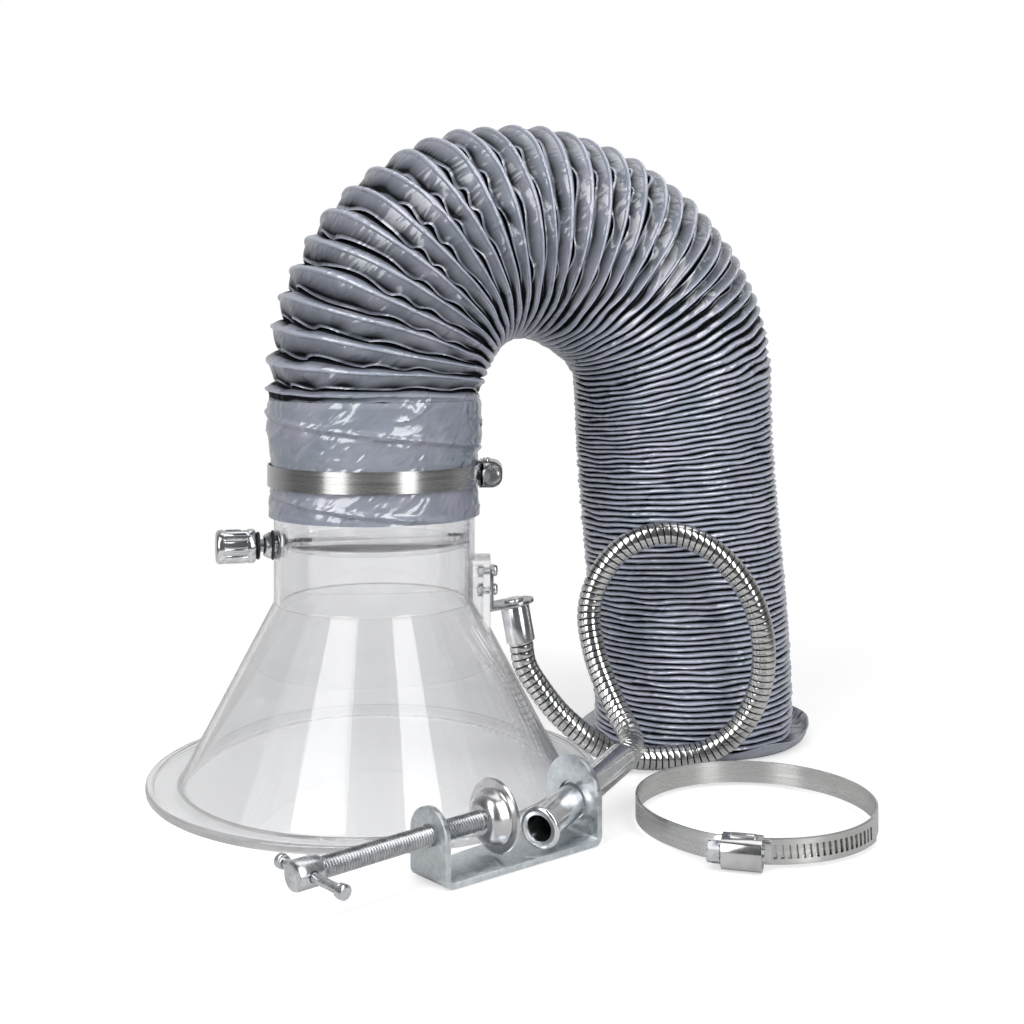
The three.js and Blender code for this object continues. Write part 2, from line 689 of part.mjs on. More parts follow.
// A rounded knob pressed over the bar's end.
function tommyCap() {
  const radius = TOMMY_CAP / 2;
  const foot = tommyEnd - TOMMY_CAP_LENGTH / 2;
  const bore = TOMMY_DIAMETER / 2 + HOLE_FIT;
  return turned([
    [0, tommyEnd + FIT],
    [bore, tommyEnd + FIT],
    [bore, foot],
    [radius, foot],
    [radius, tommyEnd + TOMMY_CAP_LENGTH / 4],
    [radius * 0.6, tommyEnd + TOMMY_CAP_LENGTH / 2],
    [0, tommyEnd + TOMMY_CAP_LENGTH / 2],
  ], 16);
}

add(tommy, "tommy_bar", barAlongY(TOMMY_DIAMETER, -tommyEnd, tommyEnd, 16), zinc);
[-90, 90].forEach((turn, number) =>
  add(tommy, `tommy_cap_${number + 1}`, tommyCap().rotateX(turn * DEGREE), zinc));

// The gooseneck's lower ferrule: a long tube with a rolled lip, loose and askew in the rear ear
const tube = group(clamp, new THREE.Vector3(CLAMP_LENGTH - CLAMP_PLATE / 2, 0, TUBE_HEIGHT));
tube.rotation.set(0, -TUBE_PITCH * DEGREE, TUBE_YAW * DEGREE, "ZYX");

function clampFerrule() {
  const socket = GOOSENECK_DIAMETER / 2 + FIT;
  const bore = TUBE_BORE / 2;
  const lip = TUBE_LIP / 2;
  return turnedAlongX(ring([
    [bore + 0.5, -TUBE_INSIDE],
    [lip - 0.6, -TUBE_INSIDE],
    [lip, -TUBE_INSIDE + 0.8],
    [lip, -TUBE_INSIDE + TUBE_LIP_LENGTH - 0.8],
    [lip - 0.6, -TUBE_INSIDE + TUBE_LIP_LENGTH],
    [tubeRadius, -TUBE_INSIDE + TUBE_LIP_LENGTH],
    [tubeRadius, TUBE_OUTSIDE],
    [socket, TUBE_OUTSIDE],
    [socket, TUBE_OUTSIDE - FERRULE_SOCKET],
    [bore, TUBE_OUTSIDE - FERRULE_SOCKET],
    [bore, -TUBE_INSIDE + 1],
  ]));
}

add(tube, "clamp_ferrule", clampFerrule(), chrome);

// The gooseneck's upper ferrule, riveted through the hanger's shelf; its own Z is the shelf's normal
const upper = group(hood, new THREE.Vector3(HANGER_SHELF, 0, 0).applyMatrix4(shelfFrame));
upper.rotation.y = -HANGER_TILT * DEGREE;

function hoodFerrule() {
  const socket = GOOSENECK_DIAMETER / 2 + FIT;
  const stud = STUD_DIAMETER / 2;
  const head = STUD_HEAD / 2;
  const headFoot = HANGER_THICKNESS + FIT;
  return turned([
    [0, FERRULE_SOCKET - HOOD_FERRULE_LENGTH],
    [socket, FERRULE_SOCKET - HOOD_FERRULE_LENGTH],
    [socket, -HOOD_FERRULE_LENGTH],
    [tubeRadius, -HOOD_FERRULE_LENGTH],
    [tubeRadius, -FIT],
    [stud, -FIT],
    [stud, headFoot],
    [head, headFoot],
    [head * 0.8, headFoot + STUD_HEAD_HEIGHT * 0.7],
    [0, headFoot + STUD_HEAD_HEIGHT],
  ]);
}

add(upper, "hood_ferrule", hoodFerrule(), chrome);

// Gooseneck: a strip-wound tube, plain where it sits in its two ferrules and ribbed between them
assembly.updateMatrixWorld(true);
const socketRun = FERRULE_SOCKET - 2 * FIT;
const upperEnd = (depth) => upper.localToWorld(new THREE.Vector3(0, 0, depth - HOOD_FERRULE_LENGTH));
const lowerEnd = (depth) => tube.localToWorld(new THREE.Vector3(TUBE_OUTSIDE - depth, 0, 0));
const straight = GOOSENECK_DIAMETER; // the gooseneck leaves each ferrule in line with it
const gooseneckPath = new THREE.CatmullRomCurve3([
  upperEnd(socketRun),
  upperEnd(0),
  upperEnd(-straight),
  ...GOOSENECK_ROUTE.map(([out, along, height]) =>
    new THREE.Vector3(hoodSide(height) + out, along, height)),
  lowerEnd(-straight),
  lowerEnd(0),
  lowerEnd(socketRun),
], false, "centripetal");

function gooseneck() {
  const crest = GOOSENECK_DIAMETER / 2;
  const points = 8;
  const steps = 2 * GOOSENECK_RIBS;
  const length = gooseneckPath.getLength();
  const frames = gooseneckPath.computeFrenetFrames(steps);
  const frameAt = (step) => ({
    centre: gooseneckPath.getPointAt(step / steps),
    across: frames.normals[step],
    up: frames.binormals[step],
  });
  const outside = [];
  const inside = [];
  for (let step = 0; step <= steps; step += 1) {
    const along = (step / steps) * length;
    const inSocket = Math.min(along, length - along) < socketRun + FIT;
    const groove = step % 2 === 1 && !inSocket ? GOOSENECK_GROOVE : 0;
    outside.push(ringAround(frameAt(step), crest - groove, points));
    if (step % 10 === 0 || step === steps) {
      inside.push(ringAround(frameAt(step), GOOSENECK_BORE / 2, points));
    }
  }
  return throughRings([...outside, ...inside.reverse()]);
}

add(hood, "gooseneck", gooseneck(), chrome);

// Duct hose: its plain cuff over the neck, the ribbed duct over an arch to its far leg, and a skirt on the
// table
function hoseCuff() {
  const inner = neckRadius + FIT;
  return turned(ring([
    [inner, cuffFoot],
    [cuffRadius, cuffFoot],
    [cuffRadius, cuffTop],
    [inner, cuffTop],
  ]), ROUND);
}

add(hood, "hose_cuff", hoseCuff(), fabric);

const ductStart = cuffTop + FIT;
const ductFoot = SKIRT_THICKNESS + FIT;
const span = DUCT_LEG.length();
const archSide = new THREE.Vector3(-DUCT_LEG.y, DUCT_LEG.x, 0).normalize();
const smooth = (t) => t * t * (3 - 2 * t);

function ductPath() {
  const archFoot = ductStart + DUCT_STRAIGHT;
  const legFoot = ductFoot + DUCT_STRAIGHT;
  const archSteps = 16;
  const legSteps = 8;
  const points = [new THREE.Vector3(0, 0, ductStart)];
  for (let step = 0; step <= archSteps; step += 1) {
    const angle = (Math.PI * step) / archSteps;
    const along = (1 - Math.cos(angle)) / 2 - ARCH_SWAY * Math.sin(angle) ** 2;
    const height = archFoot + ARCH_RISE * Math.sin(angle);
    points.push(new THREE.Vector3(DUCT_LEG.x * along, DUCT_LEG.y * along, height));
  }
  for (let step = 1; step <= legSteps; step += 1) {
    const down = step / legSteps;
    const height = archFoot + (legFoot - archFoot) * down;
    points.push(new THREE.Vector3(DUCT_LEG.x + DUCT_LEAN * smooth(down), DUCT_LEG.y, height));
  }
  points.push(new THREE.Vector3(DUCT_LEG.x + DUCT_LEAN, DUCT_LEG.y, ductFoot));
  const path = new THREE.CatmullRomCurve3(points, false, "centripetal");
  path.arcLengthDivisions = 800;
  return path;
}

// The distances of the ribs along the hose: wide over the arch, pressed together down the far leg.
function ribStarts(length) {
  const archLength = (Math.PI * span) / 2;
  const starts = [0];
  for (let at = 0; at < length;) {
    const closing = THREE.MathUtils.clamp((at / archLength - 0.5) / 0.6, 0, 1);
    at += RIB_PITCH_OPEN + (RIB_PITCH_CLOSED - RIB_PITCH_OPEN) * smooth(closing);
    if (at < length - RIB_PITCH_CLOSED / 2) starts.push(at);
  }
  return [...starts, length];
}

function ductHose() {
  const points = 12;
  const path = ductPath();
  const length = path.getLength();
  const frameAt = (distance) => {
    const along = path.getTangentAt(distance / length);
    const up = archSide.clone().addScaledVector(along, -archSide.dot(along)).normalize();
    return { centre: path.getPointAt(distance / length), across: up.clone().cross(along), up };
  };
  const crest = DUCT_DIAMETER / 2;
  const starts = ribStarts(length);
  const outside = [ringAround(frameAt(0), cuffRadius, points)];
  const inside = [];
  starts.slice(0, -1).forEach((start, number) => {
    const pitch = starts[number + 1] - start;
    outside.push(ringAround(frameAt(start + pitch / 2), crest, points));
    outside.push(ringAround(frameAt(start + pitch), crest - RIB_DEPTH * pitch, points));
    if (number % 5 === 0) inside.push(ringAround(frameAt(start), DUCT_BORE / 2, points));
  });
  inside.push(ringAround(frameAt(length), DUCT_BORE / 2, points));
  return throughRings([...outside, ...inside.reverse()]);
}

add(hood, "duct_hose", ductHose(), fabric);

function hoseSkirt() {
  const edge = SKIRT_DIAMETER / 2;
  const foot = edge - SKIRT_HEIGHT * 0.45;
  return turned(ring([
    [DUCT_BORE / 2, 0],
    [foot, 0],
    [edge, SKIRT_HEIGHT],
    [edge - SKIRT_THICKNESS, SKIRT_HEIGHT],
    [foot - SKIRT_THICKNESS * 0.4, SKIRT_THICKNESS],
    [DUCT_BORE / 2, SKIRT_THICKNESS],
  ]), 36).translate(DUCT_LEG.x + DUCT_LEAN, DUCT_LEG.y, 0);
}

add(hood, "hose_skirt", hoseSkirt(), fabric);

// Worm-drive bands, each in a frame about the band's axis, with its housing on +X and its tail running on
// past it
const lift = BAND_THICKNESS + FIT;
const housingInside = BAND_WIDTH + 2 * FIT;
const housingWidth = housingInside + 2 * HOUSING_WALL;
const RAMP_FROM = -40; // degrees, where the outer layer leaves the ring
const RAMP_TO = -13;
const INNER_END = -370;

// The strip's inner radius at an angle: the ring, a ramp, and the layer that lies over the ring's own start.
function stripRadius(radius, angle) {
  const climbed = THREE.MathUtils.clamp((angle - RAMP_FROM) / (RAMP_TO - RAMP_FROM), 0, 1);
  return radius + lift * smooth(climbed);
}

function bandStrip(radius) {
  const steps = 60;
  const inner = [];
  const outer = [];
  for (let step = 0; step <= steps; step += 1) {
    const angle = INNER_END + ((BAND_TAIL - INNER_END) * step) / steps;
    const at = stripRadius(radius, angle);
    const direction = new THREE.Vector2(Math.cos(angle * DEGREE), Math.sin(angle * DEGREE));
    inner.push(direction.clone().multiplyScalar(at));
    outer.push(direction.clone().multiplyScalar(at + BAND_THICKNESS));
  }
  const strip = lying(new THREE.Shape([...outer, ...inner.reverse()]), BAND_WIDTH)
    .translate(0, 0, -BAND_WIDTH / 2);
  const first = 14;
  const last = BAND_TAIL - 5;
  const slots = Array.from({ length: BAND_SLOTS }, (_, k) => {
    const half = SLOT_LENGTH / 2;
    const angle = first + ((last - first) * k) / (BAND_SLOTS - 1);
    const through = [radius + lift - FIT / 2, radius + lift + 2];
    return block(through, [-SLOT_WIDTH / 2, SLOT_WIDTH / 2], [-half, half]).rotateZ(angle * DEGREE);
  });
  return cut(strip, ...slots);
}

// A pressed bridge over the band, with an end wall at each side that carries the worm.
const bandOutside = (radius) => radius + lift + BAND_THICKNESS;
const wormAxis = (radius) => bandOutside(radius) + FIT + WORM_DIAMETER / 2;

function bridgeOutline(foot, top, half, corner) {
  const shape = new THREE.Shape();
  shape.moveTo(foot, -half);
  shape.lineTo(top - corner, -half);
  shape.absarc(top - corner, corner - half, corner, -90 * DEGREE, 0);
  shape.absarc(top - corner, half - corner, corner, 0, 90 * DEGREE);
  shape.lineTo(foot, half);
  shape.closePath();
  return shape;
}

// An outline in (radius, width) pushed out along the band.
const alongBand = (shape, length) => seenFromSide(shape, length, 4);

function bandHousing(radius) {
  const foot = radius + FIT;
  const top = wormAxis(radius) + WORM_DIAMETER / 2 + FIT + HOUSING_WALL;
  const half = housingWidth / 2;
  const corner = 4;
  const wallFoot = bandOutside(radius) + FIT;
  const shell = cut(
    alongBand(bridgeOutline(foot, top, half, corner), HOUSING_LENGTH),
    alongBand(bridgeOutline(foot - 1, top - HOUSING_WALL, half - HOUSING_WALL, corner - HOUSING_WALL),
      HOUSING_LENGTH + 2),
  );
  const wall = alongBand(bridgeOutline(wallFoot, top - FIT, half - FIT, corner), HOUSING_END);
  const reach = (HOUSING_LENGTH - HOUSING_END) / 2;
  const ends = [-reach, reach].map((at) => wall.clone().translate(0, at, 0));
  const bearing = barAlongY(WORM_JOURNAL + 2 * HOLE_FIT, -HOUSING_LENGTH, HOUSING_LENGTH, 16)
    .translate(wormAxis(radius), 0, 0);
  return cut(joined(shell, ...ends), bearing);
}

// The worm: threads between the end walls, journals in them, a slotted hex head outside.
function bandWorm(radius) {
  const thread = WORM_DIAMETER / 2;
  const root = thread - 0.9;
  const neck = WORM_JOURNAL / 2;
  const inside = HOUSING_LENGTH / 2 - HOUSING_END - FIT;
  const outside = HOUSING_LENGTH / 2;
  const pitch = (2 * inside) / WORM_THREADS;
  const profile = [[0, -outside - FIT], [neck, -outside - FIT], [neck, -inside]];
  for (let k = 0; k < WORM_THREADS; k += 1) {
    const foot = -inside + k * pitch;
    profile.push([root, foot], [thread, foot + pitch * 0.35], [thread, foot + pitch * 0.65]);
  }
  profile.push([root, inside], [neck, inside], [neck, outside + 0.8], [0, outside + 0.8]);
  const screw = turned(profile, 12);
  const headFoot = -outside - FIT;
  const head = bar(WORM_HEAD_ACROSS / Math.cos(30 * DEGREE), headFoot - WORM_HEAD_LENGTH, headFoot, 6);
  const slot = block([-WORM_HEAD_ACROSS, WORM_HEAD_ACROSS], [-WORM_SLOT / 2, WORM_SLOT / 2],
    [headFoot - WORM_HEAD_LENGTH - 1, headFoot - WORM_HEAD_LENGTH + 1.6]);
  return cut(joined(screw, head), slot).rotateX(-90 * DEGREE).translate(wormAxis(radius), 0, 0);
}

function wormBand(prefix, radius, place, turn) {
  const frame = group(assembly, place, turn);
  add(frame, `${prefix}_band`, bandStrip(radius), stainless);
  add(frame, `${prefix}_housing`, bandHousing(radius), stainless);
  add(frame, `${prefix}_worm`, bandWorm(radius), zinc);
}

const bandHeight = cuffFoot + BAND_ABOVE_CUFF_FOOT + BAND_WIDTH / 2;
wormBand("hose", cuffRadius + FIT, new THREE.Vector3(0, 0, bandHeight), 0);
const sparePlace = new THREE.Vector3(rimRadius + SPARE_OFF_RIM.x, SPARE_OFF_RIM.y, housingWidth / 2);
wormBand("spare", SPARE_RADIUS, sparePlace, SPARE_TURN);

// The origin: the middle of the whole, on the table
const bounds = new THREE.Box3().setFromObject(assembly, true);
const middle = bounds.getCenter(new THREE.Vector3());
assembly.position.set(-middle.x, -middle.y, -bounds.min.z);

const part = new THREE.Group();
part.add(assembly);

export default part;
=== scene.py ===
# A bench fume extraction arm on a pale floor: a clear hood with a butterfly damper, a grey wire-helix duct
# hose on a worm-drive band, a chrome gooseneck, a screw table clamp and a spare band. Pieces are modelled
# in millimetres and set into the frame in metres.
import json
import math

import bpy
import numpy as np
from mathutils import Matrix, Vector


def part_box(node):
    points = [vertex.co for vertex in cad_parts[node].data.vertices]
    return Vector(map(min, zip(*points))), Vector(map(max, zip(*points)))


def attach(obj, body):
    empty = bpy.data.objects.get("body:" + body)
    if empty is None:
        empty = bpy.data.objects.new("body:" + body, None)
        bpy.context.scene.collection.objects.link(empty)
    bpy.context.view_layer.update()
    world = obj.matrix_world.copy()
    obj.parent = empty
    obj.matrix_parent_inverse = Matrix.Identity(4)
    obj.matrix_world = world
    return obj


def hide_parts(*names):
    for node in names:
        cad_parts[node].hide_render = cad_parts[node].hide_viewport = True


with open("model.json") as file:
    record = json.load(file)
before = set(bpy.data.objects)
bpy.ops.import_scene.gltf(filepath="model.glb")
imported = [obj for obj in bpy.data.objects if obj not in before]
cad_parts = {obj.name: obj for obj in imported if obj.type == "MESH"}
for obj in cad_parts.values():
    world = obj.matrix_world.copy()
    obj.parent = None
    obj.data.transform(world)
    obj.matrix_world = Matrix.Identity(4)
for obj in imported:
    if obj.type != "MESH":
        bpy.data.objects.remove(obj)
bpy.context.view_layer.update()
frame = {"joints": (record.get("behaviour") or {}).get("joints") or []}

MM = 0.001
TURN = 2 * math.pi
RIGHT = Vector((1, 0, 0))
UP = Vector((0, 0, 1))

# Camera, in metres, with its lens in millimetres
CAMERA_PLACE = (0.00725, -0.64766, 0.209)
CAMERA_LENS = 49.22
CAMERA_SHIFT = -0.167
CAMERA_NEAR = 0.01
SENSOR = 36.0

# Lamps: a name, the bearing from the camera's side and the rise in degrees, the distance, width and height
# in metres, and the radiance
SOFTBOXES = [
    ("softbox_left", -38, 32, 1.5, 0.70, 1.9, 4.1),
    ("softbox_right", 40, 32, 1.5, 0.52, 1.9, 4.6),
    ("softbox_top", 150, 70, 1.6, 1.2, 1.2, 1.2),
]
LIT_PLACE = Vector((0, 0, 0.12))
FILL = 0.32
WHITE = (1, 1, 1, 1)
WALL_STOPS = [(0.0, (0.10, 0.102, 0.105)), (0.5, (0.12, 0.122, 0.125)), (0.95, (0.6, 0.6, 0.6))]
FLOOR_RADIUS = 0.62
FLOOR_DROP = 0.0005
FLOOR_SHADE = 0.60
FLOOR_GLOW = 0.53
FADE_FROM, FADE_TO = 0.4, 0.98


# Places read from the frame, in millimetres
def middle(node):
    low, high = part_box(node)
    return (low + high) / 2 / MM


def joint(name):
    """A joint's point and unit axis, in millimetres."""
    found = next(entry for entry in frame["joints"] if entry["name"] == name)
    place = Vector(found.get("pos_m", (0, 0, 0))) / MM
    return place, Vector(found["axis"]).normalized()


def frame_of(place, x, y, z):
    return Matrix.Translation(place) @ Matrix((x, y, z)).transposed().to_4x4()


def standing(place, axis):
    """A frame whose Z runs along an axis, with its X level where it can be."""
    z = axis.normalized()
    x = UP.cross(z)
    x = x.normalized() if x.length > 1e-6 else RIGHT.copy()
    return frame_of(place, x, z.cross(x), z)


def lying_frame(place, x):
    """A frame on the level whose X runs along a level line."""
    return frame_of(place, x, UP.cross(x), UP)


def shift(x, y, z):
    return Matrix.Translation((x, y, z))


def rotation(degrees, axis):
    return Matrix.Rotation(math.radians(degrees), 4, axis)


HOOD = Vector((middle("hood_neck").x, middle("hood_neck").y, 0))
HOOD_FRAME = Matrix.Translation(HOOD)


# Camera, light and floor
def add_camera():
    camera = bpy.data.cameras.new("camera")
    camera.lens = CAMERA_LENS
    camera.sensor_width = SENSOR
    camera.shift_y = CAMERA_SHIFT
    camera.clip_start = CAMERA_NEAR
    view = bpy.data.objects.new("camera", camera)
    view.location = CAMERA_PLACE
    view.rotation_euler = (math.radians(90), 0, 0)
    bpy.context.scene.collection.objects.link(view)
    bpy.context.scene.camera = view


def add_softbox(name, bearing, rise, distance, width, height, radiance):
    """A soft lamp facing the hood."""
    lamp = bpy.data.lights.new(name, "AREA")
    lamp.shape = "RECTANGLE"
    lamp.size = width
    lamp.size_y = height
    lamp.energy = radiance * math.pi * width * height
    box = bpy.data.objects.new(name, lamp)
    turn, lift = math.radians(bearing), math.radians(rise)
    out = Vector((math.sin(turn) * math.cos(lift), -math.cos(turn) * math.cos(lift), math.sin(lift)))
    box.location = LIT_PLACE + out * distance
    box.rotation_euler = out.to_track_quat("Z", "Y").to_euler()
    bpy.context.scene.collection.objects.link(box)


def fed(tree, made, inputs):
    """Give a node's inputs their values, or link them to the outputs that are given."""
    for name, value in inputs.items():
        if isinstance(value, bpy.types.NodeSocket):
            tree.links.new(value, made.inputs[name])
        else:
            made.inputs[name].default_value = value
    return made


def added(tree, kind, inputs=None, **settings):
    """A new shader node with its settings and inputs."""
    made = tree.nodes.new("ShaderNode" + kind)
    for name, value in settings.items():
        setattr(made, name, value)
    return fed(tree, made, inputs or {})


def colours(tree, source, stops):
    """A colour that runs through stops, each a position and a colour, as the source goes from 0 to 1."""
    ramp = added(tree, "ValToRGB", {"Fac": source})
    elements = ramp.color_ramp.elements
    while len(elements) < len(stops):
        elements.new(0.5)
    for element, (position, colour) in zip(elements, stops):
        element.position = position
        element.color = (*colour, 1)
    return ramp.outputs["Color"]


def new_material(name):
    material = bpy.data.materials.new(name)
    material.use_nodes = True
    tree = material.node_tree
    return material, tree, tree.nodes["Principled BSDF"]


def mixed_shader(tree, factor, one, other):
    """One shader and, by a factor, another in its place."""
    return added(tree, "MixShader", {"Fac": factor, 1: one.outputs[0], 2: other.outputs[0]})


def blended(tree, factor, shader, other):
    """Let another shader take the place of a material's own by a factor."""
    both = mixed_shader(tree, factor, shader, other)
    fed(tree, tree.nodes["Material Output"], {"Surface": both.outputs[0]})


def add_world():
    """Even soft light, seen as white; metal also finds darker walls at the sides and in front."""
    world = bpy.data.worlds.new("studio")
    bpy.context.scene.world = world
    world.use_nodes = True
    tree = world.node_tree
    tree.nodes.clear()
    path = added(tree, "LightPath").outputs
    rays = {0: path["Is Camera Ray"], 1: path["Transmission Depth"]}
    seen = added(tree, "Math", rays, operation="MAXIMUM")
    place = added(tree, "TexCoord")
    split = added(tree, "SeparateXYZ", {0: place.outputs["Generated"]})
    depth = added(tree, "MapRange", {"From Min": -1, "Value": split.outputs["Y"]})
    walls = colours(tree, depth.outputs["Result"], WALL_STOPS)
    soft = added(tree, "Background", {"Color": WHITE, "Strength": FILL})
    mirrored = added(tree, "Background", {"Color": walls})
    white = added(tree, "Background", {"Color": WHITE})
    lit = mixed_shader(tree, path["Is Glossy Ray"], soft, mirrored)
    whole = mixed_shader(tree, seen.outputs[0], lit, white)
    added(tree, "OutputWorld", {"Surface": whole.outputs[0]})


def add_floor():
    """A pale floor that fades into the white round it."""
    bpy.ops.mesh.primitive_circle_add(vertices=96, radius=FLOOR_RADIUS, fill_type="NGON",
                                      location=(0, 0, -FLOOR_DROP))
    floor = bpy.context.object
    floor.name = "floor"
    material, tree, shader = new_material("pale_floor")
    path = added(tree, "LightPath").outputs
    glow = added(tree, "Math", {0: path["Is Camera Ray"], 1: FLOOR_GLOW}, operation="MULTIPLY")
    fed(tree, shader, {
        "Base Color": (FLOOR_SHADE, FLOOR_SHADE, FLOOR_SHADE, 1),
        "Roughness": 0.7,
        "Emission Color": WHITE,
        "Emission Strength": glow.outputs[0],
    })
    place = added(tree, "TexCoord")
    reach = added(tree, "VectorMath", {0: place.outputs["Object"]}, operation="LENGTH")
    near, far = FADE_FROM * FLOOR_RADIUS, FADE_TO * FLOOR_RADIUS
    span = {"From Min": near, "From Max": far, "Value": reach.outputs["Value"]}
    fade = added(tree, "MapRange", span, interpolation_type="SMOOTHSTEP")
    blended(tree, fade.outputs["Result"], shader, added(tree, "BsdfTransparent"))
    floor.data.materials.append(material)


bpy.context.scene.view_settings.view_transform = "Standard"
add_camera()
for softbox in SOFTBOXES:
    add_softbox(*softbox)
add_world()
add_floor()


# Finishes
# The point attribute with each wound point's depth, which finishes turn into painted shade and painted
# highlight
HOLLOW = "hollow"
NOISE_LOW, NOISE_HIGH = 0.3, 0.7


def pattern(tree, grain, detail=5.0, stretch=(1, 1, 1)):
    """A noise on the piece's own coordinates, with grain in features per metre."""
    place = added(tree, "TexCoord")
    mapping = added(tree, "Mapping", {"Scale": stretch, "Vector": place.outputs["Object"]})
    return added(tree, "TexNoise", {"Scale": grain, "Detail": detail, "Vector": mapping.outputs["Vector"]})


def ranged(tree, source, low, high):
    """A value that runs from low to high over the middle of a noise."""
    span = {"From Min": NOISE_LOW, "From Max": NOISE_HIGH, "To Min": low, "To Max": high, "Value": source}
    return added(tree, "MapRange", span).outputs["Result"]


def relief(tree, source, height, strength, before=None):
    """The surface's direction with bumps on it, and on those before."""
    bump = added(tree, "Bump", {"Strength": strength, "Distance": height, "Height": source})
    if before is not None:
        fed(tree, bump, {"Normal": before})
    return bump.outputs["Normal"]


def painted_shade_and_highlight(tree, shader, least, full=1.0, edge_highlight=1.0, gloss=()):
    """Painted shade in the grooves of a wound piece and painted highlight on its edges, from its points' own
    depth.

    The depth runs from -1 on an edge with painted highlight, where the colour is multiplied by
    edge_highlight, to 1 at a groove's floor.
    """
    colour = shader.inputs["Base Color"].links[0].from_socket
    depth = added(tree, "Attribute", attribute_name=HOLLOW)
    # Painted shade: the colour, and the gloss sockets, darkened towards each groove's floor; painted
    # highlight: the colour lightened on edges
    for deepest, factor in ((full, least), (-1, edge_highlight)):
        span = {"From Max": deepest, "To Min": 1, "To Max": factor, "Value": depth.outputs["Fac"]}
        kept = added(tree, "MapRange", span).outputs["Result"]
        scaled = added(tree, "VectorMath", {0: colour, "Scale": kept}, operation="SCALE")
        colour = scaled.outputs["Vector"]
        for socket in gloss if factor < 1 else ():
            fed(tree, shader, {socket: kept})
    fed(tree, shader, {"Base Color": colour})


def metal(name, dark, light, polished, dull, grain, stretch=(1, 1, 1), height=0.00002, groove_shade=1):
    """Bare or plated metal: its colour and polish wander with its grain."""
    material, tree, shader = new_material(name)
    noise = pattern(tree, grain, stretch=stretch).outputs["Fac"]
    fed(tree, shader, {
        "Metallic": 1,
        "Base Color": colours(tree, noise, [(NOISE_LOW, dark), (NOISE_HIGH, light)]),
        "Roughness": ranged(tree, noise, polished, dull),
        "Normal": relief(tree, noise, height, 0.4),
    })
    # Painted shade: a wound piece's colour is darkened towards its grooves' floors, down to this factor
    if groove_shade < 1:
        painted_shade_and_highlight(tree, shader, groove_shade)
    return material


def rolled_strip():
    """Strip steel with fine lines along it, which draw its highlights out across the strip."""
    dark, light = (0.58, 0.58, 0.57), (0.68, 0.68, 0.67)
    material = metal("rolled_strip", dark, light, 0.23, 0.3, 30, (1, 1, 30), 0.000004)
    tree = material.node_tree
    around = added(tree, "Tangent", direction_type="RADIAL", axis="Z")
    fed(tree, tree.nodes["Principled BSDF"], {
        "Anisotropic": 0.85,
        "Anisotropic Rotation": 0.25,
        "Tangent": around.outputs["Tangent"],
    })
    return material


def spangled_zinc():
    """Galvanised sheet: bluish crystals, each with its own shade and polish, under fine pitting."""
    material, tree, shader = new_material("spangled_zinc")
    place = added(tree, "TexCoord")
    crystals = added(tree, "TexVoronoi", {"Scale": 560, "Vector": place.outputs["Object"]})
    shade = added(tree, "SeparateColor", {"Color": crystals.outputs["Color"]})
    stains = pattern(tree, 130, 6)
    mixed = added(tree, "Mix", {"Factor": 0.6, "A": shade.outputs["Red"], "B": stains.outputs["Fac"]})
    mottle = mixed.outputs["Result"]
    stops = [(0.15, (0.54, 0.58, 0.61)), (0.5, (0.67, 0.71, 0.735)), (0.85, (0.82, 0.85, 0.87))]
    pits = pattern(tree, 900, 3)
    fed(tree, shader, {
        "Metallic": 1,
        "Base Color": colours(tree, mottle, stops),
        "Roughness": ranged(tree, mottle, 0.3, 0.48),
        "Normal": relief(tree, pits.outputs["Fac"], 0.00006, 0.35),
    })
    return material


def clear_acrylic():
    """Clear sheet with a faint grey tint that lets lamp light through to what is behind it."""
    material, tree, shader = new_material("clear_acrylic")
    haze = pattern(tree, 30, 4)
    fed(tree, shader, {
        "Base Color": (0.900, 0.902, 0.909, 1),
        "Transmission Weight": 1,
        "IOR": 1.49,
        "Specular IOR Level": 1,
        "Roughness": ranged(tree, haze.outputs["Fac"], 0.0, 0.035),
    })
    path = added(tree, "LightPath").outputs
    unbent = added(tree, "Math", {0: path["Is Shadow Ray"], 1: 0.15}, operation="MAXIMUM")
    through = added(tree, "BsdfTransparent", {"Color": (0.9, 0.902, 0.906, 1)})
    blended(tree, unbent.outputs[0], shader, through)
    return material


def coated_cloth():
    """Grey coated duct cloth: patchy bluish grey, and a gloss broken by small creases and crinkles."""
    material, tree, shader = new_material("coated_cloth")
    patches = pattern(tree, 55, 4)
    stops = [(0.3, (0.215, 0.25, 0.30)), (0.55, (0.26, 0.275, 0.34)), (0.75, (0.32, 0.322, 0.395))]
    gloss = pattern(tree, 120, 3)
    creases = pattern(tree, 240, 2)
    creases.noise_type = "RIDGED_MULTIFRACTAL"
    slanted = creases.inputs["Vector"].links[0].from_node
    slanted.vector_type = "TEXTURE"
    fed(tree, slanted, {"Rotation": (0, math.radians(-38), 0), "Scale": (2.6, 1, 1)})
    crinkles = pattern(tree, 1000, 2)
    folded = relief(tree, creases.outputs["Fac"], 0.0022, 0.6)
    crinkled = relief(tree, crinkles.outputs["Fac"], 0.0002, 0.3, folded)
    fed(tree, shader, {
        "Base Color": colours(tree, patches.outputs["Fac"], stops),
        "Roughness": ranged(tree, gloss.outputs["Fac"], 0.32, 0.52),
        "Coat Roughness": 0.1,
        "Coat IOR": 1.8,
        "Normal": crinkled,
        "Coat Normal": crinkled,
    })
    # Painted shade darkens the cloth, its coat and its reflection towards each fold's floor; painted
    # highlight lightens fold lips and wires
    painted_shade_and_highlight(tree, shader, 0.03, 0.38, 2.0, ("Coat Weight", "Specular IOR Level"))
    return material


